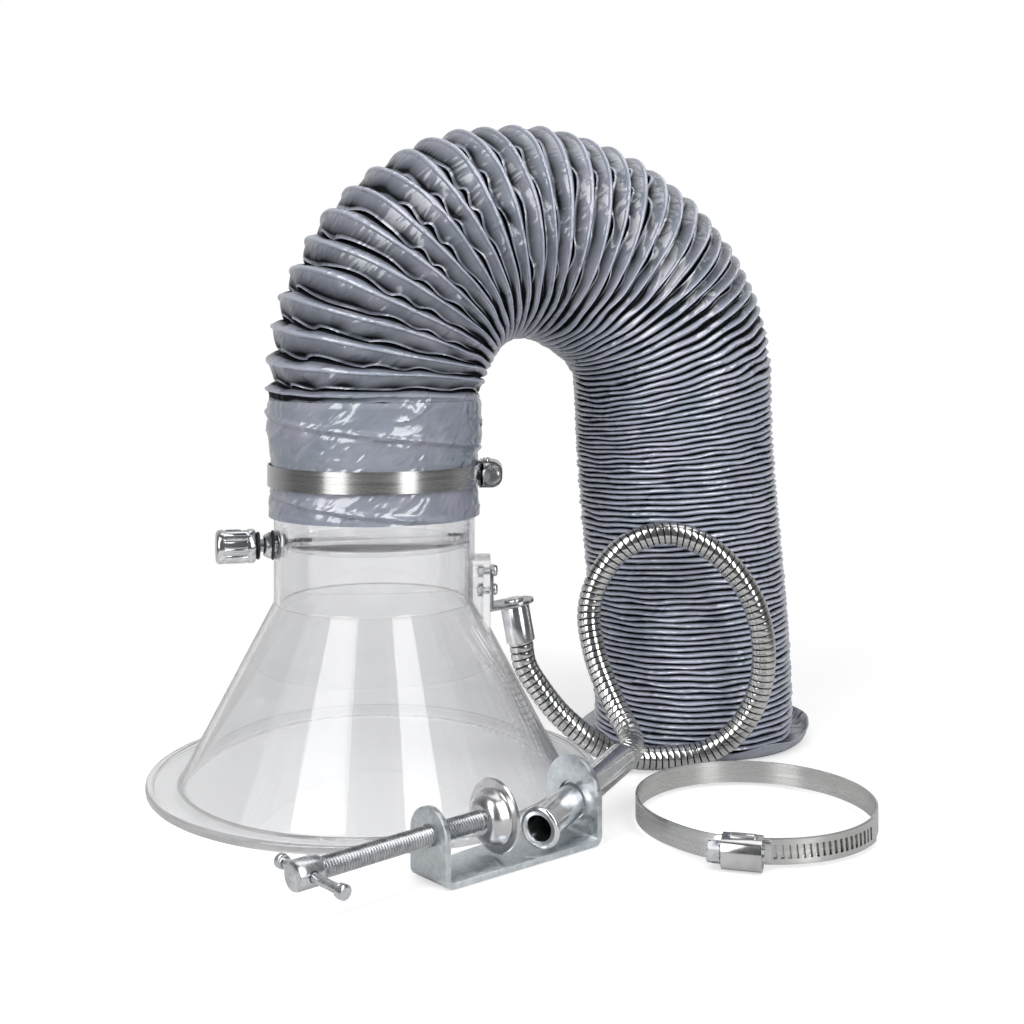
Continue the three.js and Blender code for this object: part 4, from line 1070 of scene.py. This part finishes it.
def tommy_bar():
    place = SPINDLE_FRAME @ shift(TOMMY_SHIFT, 0, TOMMY_AT) @ ALONG_X
    rod = bar("tommy_rod", 1.8, -TOMMY_END, TOMMY_END, 40)
    keep(rod, "tommy", ["tommy_bar"], SCREW_ZINC, place)
    foot, end = TOMMY_END - 2, TOMMY_END + 2
    cap = [
        (1.9, foot), (2.4, foot), (2.6, foot + 0.3), (2.6, foot + 0.9), (2.35, foot + 1.1),
        (2.35, foot + 1.4), (2.8, foot + 1.6), (2.8, end - 0.6), (2.4, end - 0.15), (1.7, end), (0, end),
        (0, TOMMY_END + 0.2), (1.9, TOMMY_END + 0.2),
    ]
    for number, turn in enumerate((180, 0), 1):
        knob = turned_ring("tommy_knob_%d" % number, cap, 40)
        turned_about = rotation(turn, "Y")
        keep(knob, "tommy", ["tommy_cap_%d" % number], SCREW_ZINC, place @ turned_about)


# The gooseneck and its lower ferrule, whose Z runs from the clamp to the gooseneck
TUBE_PLACE = CLAMP_FRAME @ Vector((CLAMP_LENGTH - CLAMP_PLATE / 2, 0, TUBE_HEIGHT))
TUBE_FRAME = standing(TUBE_PLACE, -joint("clamp_slide")[1])
TUBE_INSIDE = -33.0
TUBE_OUTSIDE = 50.0
TUBE_BORE = 5.2
TUBE_LIP = 8.8
TUBE_LIP_LENGTH = 2.8
GOOSENECK = 5.8
GOOSENECK_PITCH = 3.2
GOOSENECK_GROOVE = 0.7
GOOSENECK_SIDES = 28
SOCKET_RUN = 10.4
# Chosen points: the distance out from the hood's side at that height, the place along Y, and the height
GOOSENECK_ROUTE = [
    (8.3, 0, 42), (11, 0, 31), (15.8, 0, 22), (21.8, 1, 14.5), (30.4, 3, 9),
    (40.7, 6, 6.6), (53.5, 8, 6.2), (69.3, 9, 7.8), (86.6, 9, 15), (103.1, 8, 27.3),
    (120.5, 6.5, 48), (132, 5, 73.7), (129, 5, 93), (113, 6, 109), (93.8, 7, 115.4),
    (74, 8, 109.5), (60.5, 9, 94), (51.3, 8, 77), (43.8, 3.5, 58), (41.4, -2, 44),
    (40.8, -9.5, 31.5), (41.1, -18.5, 23.5),
]


def clamp_ferrule():
    lip_end = TUBE_INSIDE + TUBE_LIP_LENGTH
    roll = TUBE_LIP_LENGTH / 2
    profile = [
        (TUBE_BORE, TUBE_INSIDE + 1.2), (TUBE_BORE + 0.3, TUBE_INSIDE + 0.4),
        *arc(TUBE_LIP - roll, TUBE_INSIDE + roll, roll, -120, 90, 18),
        (TUBE + 0.25, lip_end), (TUBE, lip_end + 0.3), (TUBE, TUBE_OUTSIDE - 0.2),
        (TUBE - 0.2, TUBE_OUTSIDE), (SOCKET + 0.2, TUBE_OUTSIDE), (SOCKET, TUBE_OUTSIDE - 0.2),
        (SOCKET, TUBE_OUTSIDE - SOCKET_DEPTH), (TUBE_BORE, TUBE_OUTSIDE - SOCKET_DEPTH),
    ]
    ferrule = turned_ring("lower_ferrule", profile, 64)
    keep(ferrule, "hood", ["clamp_ferrule"], CHROME, TUBE_FRAME)


def curve_through(points, per_span=40):
    """A centripetal Catmull-Rom curve through points, sampled closely."""
    points = np.array([tuple(point) for point in points])
    points = np.vstack([2 * points[0] - points[1], points, 2 * points[-1] - points[-2]])
    sampled = []
    for p in zip(points, points[1:], points[2:], points[3:]):
        steps = [math.sqrt(np.linalg.norm(b - a)) for a, b in zip(p, p[1:])]
        knots = np.concatenate([[0], np.cumsum(steps)])
        t = np.linspace(knots[1], knots[2], per_span, endpoint=False)[:, None]

        def between(a, b, low, high):
            return ((high - t) * a + (t - low) * b) / (high - low)
        first = [between(p[k], p[k + 1], knots[k], knots[k + 1]) for k in range(3)]
        second = [between(first[k], first[k + 1], knots[k], knots[k + 2]) for k in range(2)]
        sampled.append(between(second[0], second[1], knots[1], knots[2]))
    return np.vstack([*sampled, points[-2:-1]])


class Path:
    """A sampled line with frames that don't twist, read at distances along it."""

    def __init__(self, points, side=None):
        steps = np.linalg.norm(np.diff(points, axis=0), axis=1)
        self.distance = np.concatenate([[0], np.cumsum(steps)])
        self.length = self.distance[-1]
        self.points = points
        along = np.gradient(points, self.distance, axis=0)
        self.along = along / np.linalg.norm(along, axis=1, keepdims=True)
        self.up = self.sides(side)

    def sides(self, side):
        fixed = side is not None
        side = np.array(side if fixed else (0.0, 1.0, 0.0))
        found = []
        for along in self.along:
            level = side - along * np.dot(side, along)
            level = level / np.linalg.norm(level)
            found.append(level)
            side = side if fixed else level
        return np.array(found)

    def read(self, values, distance):
        return np.stack([np.interp(distance, self.distance, values[:, k]) for k in range(3)], axis=-1)

    def frames(self, distance):
        up = self.read(self.up, distance)
        return self.read(self.points, distance), np.cross(up, self.read(self.along, distance)), up


def hood_side(height):
    rise = (height - FLANGE) / (CONE_TOP - FLANGE)
    return CONE_FOOT + (NECK - CONE_FOOT) * min(max(rise, 0), 1)


def gooseneck():
    straight = 2 * GOOSENECK
    depths = (SOCKET_RUN, 0, -straight)
    upper = [FERRULE_FRAME @ Vector((0, 0, depth - FERRULE_LENGTH)) for depth in depths]
    lower = [TUBE_FRAME @ Vector((0, 0, TUBE_OUTSIDE - depth)) for depth in reversed(depths)]
    route = [HOOD_FRAME @ Vector((hood_side(height) + out, along, height))
             for out, along, height in GOOSENECK_ROUTE]
    path = Path(curve_through([*upper, *route, *lower]))
    turns = round(path.length / GOOSENECK_PITCH)
    pitch = path.length / turns

    def radius_of(turn, fraction, angle):
        from_groove = np.minimum(fraction, 1 - fraction)
        groove = GOOSENECK_GROOVE * (1 - smooth(from_groove / 0.13))
        return GOOSENECK - groove - 0.08 * (1 - 2 * from_groove) ** 2
    fractions = (0, 0.04, 0.08, 0.12, 0.17, 0.34, 0.5, 0.66, 0.83, 0.88, 0.92, 0.96, 1)
    tube = wound("wound_tube", lambda place: path.frames(place * pitch), (0, turns), GOOSENECK_SIDES,
                 fractions, radius_of)
    keep(tube, "hood", ["gooseneck"], NICKEL)


# The duct hose: a plain cuff on the neck, the wire-helix duct over its arch, and a skirt on the table
CUFF_FOOT = 126.0
CUFF_TOP = 181.2
CUFF = 49.7
BAND_LOW, BAND_HIGH = 139.5, 151.5
DUCT = 52.6
DUCT_START = 181.3
DUCT_STRAIGHT = 6.0
ARCH_RISE = 78.0
ARCH_SWAY = 0.045
DUCT_LEG = np.array((152.0, 78.0))
DUCT_LEAN = 11.0
DUCT_FOOT = 1.7
PITCH_OPEN = 9.2
PITCH_CLOSED = 2.95
WIRE_HAND = -1
INTO, OUT_OF = 0.31, 0.45
WIRE_OVER, WIRE_UNDER = 0.12, 0.86
WIRE_RISE = 1.2
ARCH_STEPS = 240
ARCH_SIDES, LEG_SIDES = 164, 120
LEG_PITCH = 4.2
EASING = 70
SLACK_GAP = 3.8
STRETCH = 4.0
FOLDS_PER_TURN = 10.3
FOLD_PINCH = 0.86
GROOVE_DEPTH = 4.2
POCKET_DEPTH = 3.2
SQUEEZED_OUT = 4.5
DUCT_END = CUFF + 0.6
SKIRT = 61.5
SKIRT_HEIGHT = 8.0


def duct_path():
    arch_foot = DUCT_START + DUCT_STRAIGHT
    leg_foot = DUCT_FOOT + DUCT_STRAIGHT
    angle = np.linspace(0, math.pi, ARCH_STEPS)
    along = (1 - np.cos(angle)) / 2 - ARCH_SWAY * np.sin(angle) ** 2
    arch = np.stack([DUCT_LEG[0] * along, DUCT_LEG[1] * along,
                     arch_foot + ARCH_RISE * np.sin(angle)], axis=1)
    down = np.linspace(0, 1, 160)[1:]
    leg = np.stack([DUCT_LEG[0] + DUCT_LEAN * smooth(down), DUCT_LEG[1] + 0 * down,
                    arch_foot + (leg_foot - arch_foot) * down], axis=1)
    foot = [[DUCT_LEG[0] + DUCT_LEAN, DUCT_LEG[1], DUCT_FOOT]]
    points = np.vstack([[[0, 0, DUCT_START]], arch, leg, foot]) + np.array(HOOD)
    side = np.array((-DUCT_LEG[1], DUCT_LEG[0], 0)) / np.linalg.norm(DUCT_LEG)
    return Path(points, side)


def wire_starts(length):
    """The wire's distances along the hose, one for each turn: wide over the arch, close down the leg."""
    arch_length = math.pi * np.linalg.norm(DUCT_LEG) / 2
    starts = [0.0]
    while starts[-1] < length - PITCH_CLOSED:
        closing = smooth((starts[-1] / arch_length - 0.5) / 0.6)
        starts.append(starts[-1] + PITCH_OPEN + (PITCH_CLOSED - PITCH_OPEN) * closing)
    return np.array(starts) * length / starts[-1]


def duct_hose():
    path = duct_path()
    starts = wire_starts(path.length)
    turns = len(starts) - 1
    counted = np.arange(turns + 1)
    split = int(np.argmax(np.diff(starts) < LEG_PITCH))

    def frames_at(place):
        return path.frames(np.interp(place, counted, starts))

    level = path.along[:, :2] @ DUCT_LEG / np.linalg.norm(DUCT_LEG)
    heading = np.unwrap(np.arctan2(level, path.along[:, 2]))
    even = np.arange(0, path.length, 1.0)
    bearing = np.interp(even, path.distance, heading)
    window = np.ones(2 * EASING + 1) / (2 * EASING + 1)
    lag = np.convolve(np.pad(bearing, EASING, mode="edge"), window, "valid") - bearing
    eased_bearing = bearing + lag * smooth((even - path.distance[ARCH_STEPS] / 2) / 40)
    bend = np.gradient(bearing)

    def lean(place, angle):
        """How far a wire leans along the hose, in turns, so that the arch's wires ease into the leg's."""
        reach = DUCT * np.cos(angle)
        distance = np.interp(place, counted, starts)
        wanted = distance - reach * np.interp(distance, even, eased_bearing)
        found = distance
        for _ in range(5):
            excess = found - reach * np.interp(found, even, bearing) - wanted
            found = found - excess / (1 - reach * np.interp(found, even, bend))
        return np.interp(found, starts, counted) - place

    def crest_at(place, angle):
        return on_circle(frames_at(place + lean(place, angle)), DUCT, angle)

    def spacing(place, angle):
        """The distance from one wire to the next at a point: wide outside the arch and narrow inside it."""
        before = np.clip(place - 0.5, 0, turns - 1)
        return np.linalg.norm(crest_at(before + 1, angle) - crest_at(before, angle), axis=-1)

    def along_wires(turn, fraction, value):
        """A value that belongs to each wire, passed on smoothly from one wire to the next."""
        return (1 - fraction) * value(turn) + fraction * value(turn + 1)

    def spread_at(turn, fraction, angle):
        """How far the cloth is stretched between its wires, from 0 to 1, and the distance between them."""
        gap = spacing(np.clip(turn + fraction, 0, turns), angle)
        return smooth((gap - SLACK_GAP) / STRETCH), gap

    def drape(turn):
        """How far a fold's edge droops towards the wire below: slanting folds, each pinched at its end."""
        fold = (FOLDS_PER_TURN * turn + 0.6 * waver(turn, 6, 1, 4)) % 1
        pinched = smooth((fold - FOLD_PINCH) / (1 - FOLD_PINCH))
        return np.sin(math.pi * unit(fold / FOLD_PINCH) ** 1.5) * (1 - pinched)

    def fold_edge(turn):
        return 0.25 + 0.15 * drape(turn) + 0.03 * waver(turn, 5, 5, 11)

    def sway(turn, fraction, angle):
        """Wires that wander, and stretched cloth folded back behind the edge of its own fold."""
        edge = fold_edge(turn)
        pocket = edge + 0.06
        inward = unit(fraction / INTO)
        outward = unit((fraction - INTO) / (OUT_OF - INTO))
        band = unit((fraction - OUT_OF) / (1 - OUT_OF))
        folded = np.where(fraction < INTO, pocket * inward ** 1.4, pocket + (edge - pocket) * outward)
        folded = np.where(fraction < OUT_OF, folded, edge + (1 - edge) * band)
        spread = spread_at(turn, fraction, angle)[0]
        slow = along_wires(turn, fraction, lambda wire: waver(wire, 12, 1.5, 4.5))
        quick = along_wires(turn, fraction, lambda wire: waver(wire, 13, 6, 14))
        wandering = 0.08 * slow + 0.11 * (1 - spread) * quick
        return wandering + (folded - fraction) * spread + lean(turn + fraction, angle)

    def radius_of(turn, fraction, angle):
        place = np.clip(turn + fraction, 0, turns)
        spread, gap = spread_at(turn, fraction, angle)
        to_wire = 2 * np.minimum(fraction, 1 - fraction)
        fullness = 1.9 + 0.5 * waver(turn, 4, 5, 11)
        closed = GROOVE_DEPTH * (1 - np.sqrt(1 - np.clip(to_wire, 0, 0.98) ** fullness))
        lip = np.clip(gap, 3, 14) * (0.50 - 0.24 * drape(turn) + 0.05 * waver(turn, 8, 6, 12))
        deep = lip + POCKET_DEPTH
        over = WIRE_RISE * (1 - np.sqrt(1 - unit(fraction / WIRE_OVER) ** 2))
        inward = smooth((fraction - WIRE_OVER) / (INTO - WIRE_OVER))
        outward = smooth((fraction - INTO) / (OUT_OF - INTO))
        band = unit((fraction - OUT_OF) / (1 - OUT_OF))
        patchy = 0.6 + 0.4 * waver(turn - 0.03 * fraction, 10, 5, 9)
        crease = waver(turn + 0.05 * fraction, 9, 9, 17) * patchy
        taut = unit(band / WIRE_UNDER)
        hang = 1.25 * WIRE_RISE
        sheet = hang + (lip - hang) * (1 - taut) ** 1.3 + 0.6 * crease * np.sin(math.pi * taut ** 0.6)
        under = hang * (1 - np.sqrt(1 - unit((1 - band) / (1 - WIRE_UNDER)) ** 2))
        sheet = np.where(band < WIRE_UNDER, sheet, under)
        opened = np.where(fraction < OUT_OF, over + (deep - over) * inward + (lip - deep) * outward, sheet)
        drop = closed + (opened - closed) * spread
        wander = along_wires(turn, fraction, lambda wire: waver(wire, 3, 2, 5))
        pitch = np.interp(place, counted, np.gradient(starts))
        distance = np.interp(place, counted, starts)
        on_arch = smooth(distance / 40) * smooth((path.distance[ARCH_STEPS] + 10 - distance) / 80)
        squeezed = on_arch * unit(1 - gap / pitch)
        ends = smooth(np.minimum(place, turns - place) / 0.7)
        return DUCT_END + (DUCT + 0.3 * wander + SQUEEZED_OUT * squeezed - drop - DUCT_END) * ends

    def edge_highlight(turn, fraction, angle):
        """Painted highlight: the fold's lip and, less, the cloth over each wire, and, fading out, the duct's
        first half turn.
        """
        on_lip = np.exp(-((fraction - OUT_OF) / 0.03) ** 2)
        spread = spread_at(turn, fraction, angle)[0]
        on_wire = np.exp(-(np.minimum(fraction, 1 - fraction) / (0.22 - 0.17 * spread)) ** 2)
        begins = 0.5 * (1 - smooth((turn + fraction) / 0.45))
        return np.maximum(0.9 * on_lip * spread + (0.85 - 0.2 * spread) * on_wire, begins)
    wide = (0, 0.04, 0.08, WIRE_OVER, 0.18, 0.25, INTO, 0.38, OUT_OF, 0.48, 0.54, 0.63, 0.73, 0.83,
            0.92, 0.94, 0.96, 0.98, 1)
    close = (0, 0.12, 0.24, 0.35, 0.43, 0.5, 0.57, 0.65, 0.76, 0.88, 1)
    arch = wound("duct_arch", frames_at, (0, split), ARCH_SIDES, wide, radius_of, WIRE_HAND,
                 (True, False), sway, edge_highlight)
    keep(arch, "hood", ["duct_hose"], CLOTH)
    leg = wound("duct_leg", frames_at, (split, turns), LEG_SIDES, close, radius_of, WIRE_HAND,
                (False, True), sway, edge_highlight)
    keep(leg, "hood", [], CLOTH)


def hose_cuff():
    wire_pitch = 36.0
    wire_phase = 22.0
    inner = NECK + 0.2
    heights = np.linspace(CUFF_FOOT, CUFF_TOP, 100)
    profile = [(CUFF, height) for height in heights] + [(inner, CUFF_TOP), (inner, CUFF_FOOT)]

    def change(radius, height, angle):
        outside = radius > NECK + 1
        held = smooth((height - BAND_LOW + 3) / 3) * smooth((BAND_HIGH + 3 - height) / 3)
        above = smooth((height - BAND_HIGH) / 14) * smooth((CUFF_TOP + 3 - height) / 6)
        below = smooth((BAND_LOW - height) / 8)
        hem = smooth((CUFF_FOOT + 3.2 - height) / 0.8)
        climb = (height - CUFF_FOOT + wire_phase + wire_pitch * angle / TURN) % wire_pitch
        off_wire = climb - wire_pitch / 2
        wire = np.exp(-(off_wire / 1.1) ** 2) - 0.5 * np.exp(-((off_wire + 2.4) / 0.9) ** 2)
        turn = angle / TURN
        folds = np.sin(TURN * (9 * turn + height / 31) + 1.2 * np.sin(TURN * (4 * turn - height / 47)))
        bent = 1.5 * np.sin(TURN * (5 * turn + height / 29))
        folds = folds + 0.7 * np.sin(TURN * (17 * turn - height / 19) + bent)
        slant = 15 * turn - height / 15.5 + 0.5 * waver(turn, 21, 2, 6) + 0.35 * np.sin(TURN * height / 37)
        patchy = np.clip(waver(turn - height / 260, 22, 7, 16), 0, 1.4)
        crinkle = (1 - np.abs(np.sin(math.pi * slant))) ** 4 * patchy
        loose = 1 - held
        wrinkled = 0.28 * folds + 0.75 * crinkle
        grown = 1.5 * above + 0.3 * below + 0.45 * hem + loose * (1.25 * wire + wrinkled * (1 - hem))
        return np.where(outside, radius + grown - 0.2 * held, radius), height
    cuff = sleeve("cuff_cloth", profile, 360, change)
    keep(cuff, "hood", ["hose_cuff"], CLOTH, HOOD_FRAME)


def hose_skirt():
    bore = 44.5
    foot = SKIRT - 4.2
    profile = [
        (bore, 0.2), (bore + 6, 0.1), (foot - 2, 0.1), (foot, 0.3), (foot + 1.6, 1.6), (foot + 3, 4.2),
        (SKIRT - 0.5, 7), (SKIRT, SKIRT_HEIGHT - 0.3), (SKIRT - 0.6, SKIRT_HEIGHT), (SKIRT - 1.6, 6.8),
        (foot + 1.6, 4), (foot + 0.2, 2.2), (foot - 2, 1.5), (bore + 6, 1.4), (bore, 1.4),
    ]

    def change(radius, height, angle):
        turn = angle / TURN
        brim = smooth((radius - foot + 1) / 4)
        ripple = 0.12 * np.sin(5 * angle + 1) + 0.08 * np.sin(11 * angle)
        raised = 0.55 + 0.45 * np.cos(angle - math.radians(8)) + ripple
        wave = np.sin(TURN * 7 * turn + 0.6) + 0.6 * np.sin(TURN * 12 * turn)
        lifted = np.clip(raised, 0.1, 1)
        return radius + 0.35 * brim * wave - 1.2 * brim * (1 - lifted), height * (1 + brim * (lifted - 1))
    place = shift(middle("hose_skirt").x, middle("hose_skirt").y, 0)
    skirt = sleeve("skirt_cloth", profile, 180, change)
    keep(skirt, "hood", ["hose_skirt"], CLOTH, place)


# Worm-drive bands, each in a frame about its axis with the housing on X, and angles in degrees
HOSE_BAND = 50.3
SPARE_BAND = 51.0
BAND_HALF = 5.0
BAND_SHEET = 0.8
BAND_LIFT = 1.1
BAND_START = -370
BAND_END = 75
RAMP = (-40, -13)
SLOTS = 18
SLOTTED = (13.5, 68)
SLOT_DEPTH = 1.0
SLOT_HALF_WIDTH = 0.75
SLOT_HALF_LENGTH = 2.8
SLOT_TILT = 6
HOUSING_LENGTH = 16.0
HOUSING_HALF = 6.3
HOUSING_WALL = 1.0
HOUSING_END = 1.3
WORM = 3.8
WORM_DEPTH = 1.1
WORM_PITCH = 3.2
WORM_JOURNAL = 2.5


def band_strip(name, radius):
    steps = 150
    angles = [BAND_START + (BAND_END - BAND_START) * k / steps for k in range(steps + 1)]

    def layer(depth):
        lifts = [float(smooth((angle - RAMP[0]) / (RAMP[1] - RAMP[0]))) for angle in angles]
        return [((radius + depth + BAND_LIFT * lift) * math.cos(math.radians(angle)),
                 (radius + depth + BAND_LIFT * lift) * math.sin(math.radians(angle)))
                for angle, lift in zip(angles, lifts)]
    strip = plate(name, layer(BAND_SHEET) + layer(0)[::-1], 2 * BAND_HALF)
    at_height(strip, -BAND_HALF)
    slots = []
    for k in range(SLOTS):
        outer = radius + BAND_LIFT + BAND_SHEET
        slot = block("slot", (outer - SLOT_DEPTH, -SLOT_HALF_WIDTH, -SLOT_HALF_LENGTH),
                     (outer + 2, SLOT_HALF_WIDTH, SLOT_HALF_LENGTH))
        angle = SLOTTED[0] + (SLOTTED[1] - SLOTTED[0]) * k / (SLOTS - 1)
        slots.append(moved(slot, rotation(angle, "Z") @ rotation(SLOT_TILT, "X")))
    cut(strip, merged(*slots))
    return eased(strip, 0.12, 1, 50)


def bridge_outline(foot, top, half, corner):
    return [(foot, -half), *arc(top - corner, corner - half, corner, -90, 0, 8),
            *arc(top - corner, half - corner, corner, 0, 90, 8), (foot, half)]


def long_round(x, half, radius):
    """A long hole's outline along Y."""
    return [*arc(x, half, radius, 0, 180, 12), *arc(x, -half, radius, 180, 360, 12)]


def band_housing(name, radius, worm_axis):
    foot = radius + 0.15
    top = worm_axis + WORM + 0.3 + HOUSING_WALL
    corner = 5.2
    shell = side_plate(name, bridge_outline(foot, top, HOUSING_HALF, corner), HOUSING_LENGTH)
    hollow = bridge_outline(foot - 1, top - HOUSING_WALL, HOUSING_HALF - HOUSING_WALL,
                            corner - HOUSING_WALL)
    cut(shell, side_plate("inside", hollow, HOUSING_LENGTH + 2))
    reach = (HOUSING_LENGTH - HOUSING_END) / 2 - 0.1
    wall_foot = radius + BAND_LIFT + BAND_SHEET + 0.3
    for place in (-reach, reach):
        outline = bridge_outline(wall_foot, top - 0.3, HOUSING_HALF - 0.3, corner)
        wall = side_plate("wall", outline, HOUSING_END)
        joined(shell, moved(wall, shift(0, place, 0)))
    bearing = bar("bearing", WORM_JOURNAL + 0.3, -HOUSING_LENGTH, HOUSING_LENGTH, 40)
    cut(shell, moved(bearing, shift(worm_axis, 0, 0) @ ALONG_Y))
    raised = at_height(plate("raised", long_round(radius + 3.4, 4.2, 1.8), 1.1), HOUSING_HALF - 0.4)
    dished = at_height(plate("dished", long_round(radius + 3.4, 4.2, 1.0), 1.1), HOUSING_HALF + 0.3)
    joined(shell, cut(raised, dished))
    eased(shell, 0.35, 3)
    outer = radius + BAND_LIFT + BAND_SHEET
    tongue = eased(block("tongue", (outer - 0.1, -1.8, -4.4), (outer + 0.7, 1.8, 4.4)), 0.3)
    past_end = (HOUSING_LENGTH / 2 + 1.3) / outer
    return merged(shell, moved(tongue, Matrix.Rotation(past_end, 4, "Z")))


def band_worm(name):
    inside = HOUSING_LENGTH / 2 - HOUSING_END - 0.3
    outside = HOUSING_LENGTH / 2
    head_foot, head_end = -outside - 0.3, -outside - 5.8
    collar, journal = 4.5, WORM_JOURNAL - 0.05
    core = turned(name, [
        (0, head_foot - 0.8), (collar - 0.2, head_foot - 0.8), (collar, head_foot - 0.6),
        (collar, head_foot - 0.2), (collar - 0.2, head_foot), (journal, head_foot), (journal, outside + 0.8),
        (0, outside + 0.8),
    ], 40)
    screw = thread("worm_thread", WORM, WORM_DEPTH, WORM_PITCH, -inside, inside, 40)
    head = plate("worm_head", hexagon(8), head_foot - 0.5 - head_end)
    moved(head, shift(0, 0, head_end) @ rotation(30, "Z"))
    chamfer = turned("chamfer", [
        (0, head_end - 1), (2.6, head_end - 1), (4.8, head_end + 1), (6, head_end + 2.1),
        (6, head_foot + 1), (0, head_foot + 1),
    ])
    common(head, chamfer)
    cut(head, block("slot", (-0.6, -8, head_end - 1), (0.6, 8, head_end + 1.6)))
    return merged(core, screw, eased(head, 0.2))


def worm_band(prefix, radius, worm_joint, body, screw_body):
    place, along = joint(worm_joint)
    worm_axis = radius + BAND_LIFT + BAND_SHEET + 0.3 + WORM
    out = along.cross(UP)
    about = lying_frame(place - out * worm_axis, out)
    keep(band_strip(prefix + "_strip", radius), body, [prefix + "_band"], STRIP_STEEL, about)
    housing = band_housing(prefix + "_bridge", radius, worm_axis)
    keep(housing, body, [prefix + "_housing"], BRIGHT_STEEL, about)
    on_axis = about @ shift(worm_axis, 0, 0) @ ALONG_Y
    keep(band_worm(prefix + "_screw"), screw_body, [prefix + "_worm"], SCREW_ZINC, on_axis)


hood_cone()
hood_neck()
damper()
arm_bracket()
clamp_bracket()
clamp_spindle()
pad_dish()
tommy_bar()
clamp_ferrule()
gooseneck()
hose_cuff()
duct_hose()
hose_skirt()
worm_band("hose", HOSE_BAND, "band_screw_turn", "hood", "band_screw")
worm_band("spare", SPARE_BAND, "spare_screw_turn", "spare_clamp", "spare_screw")
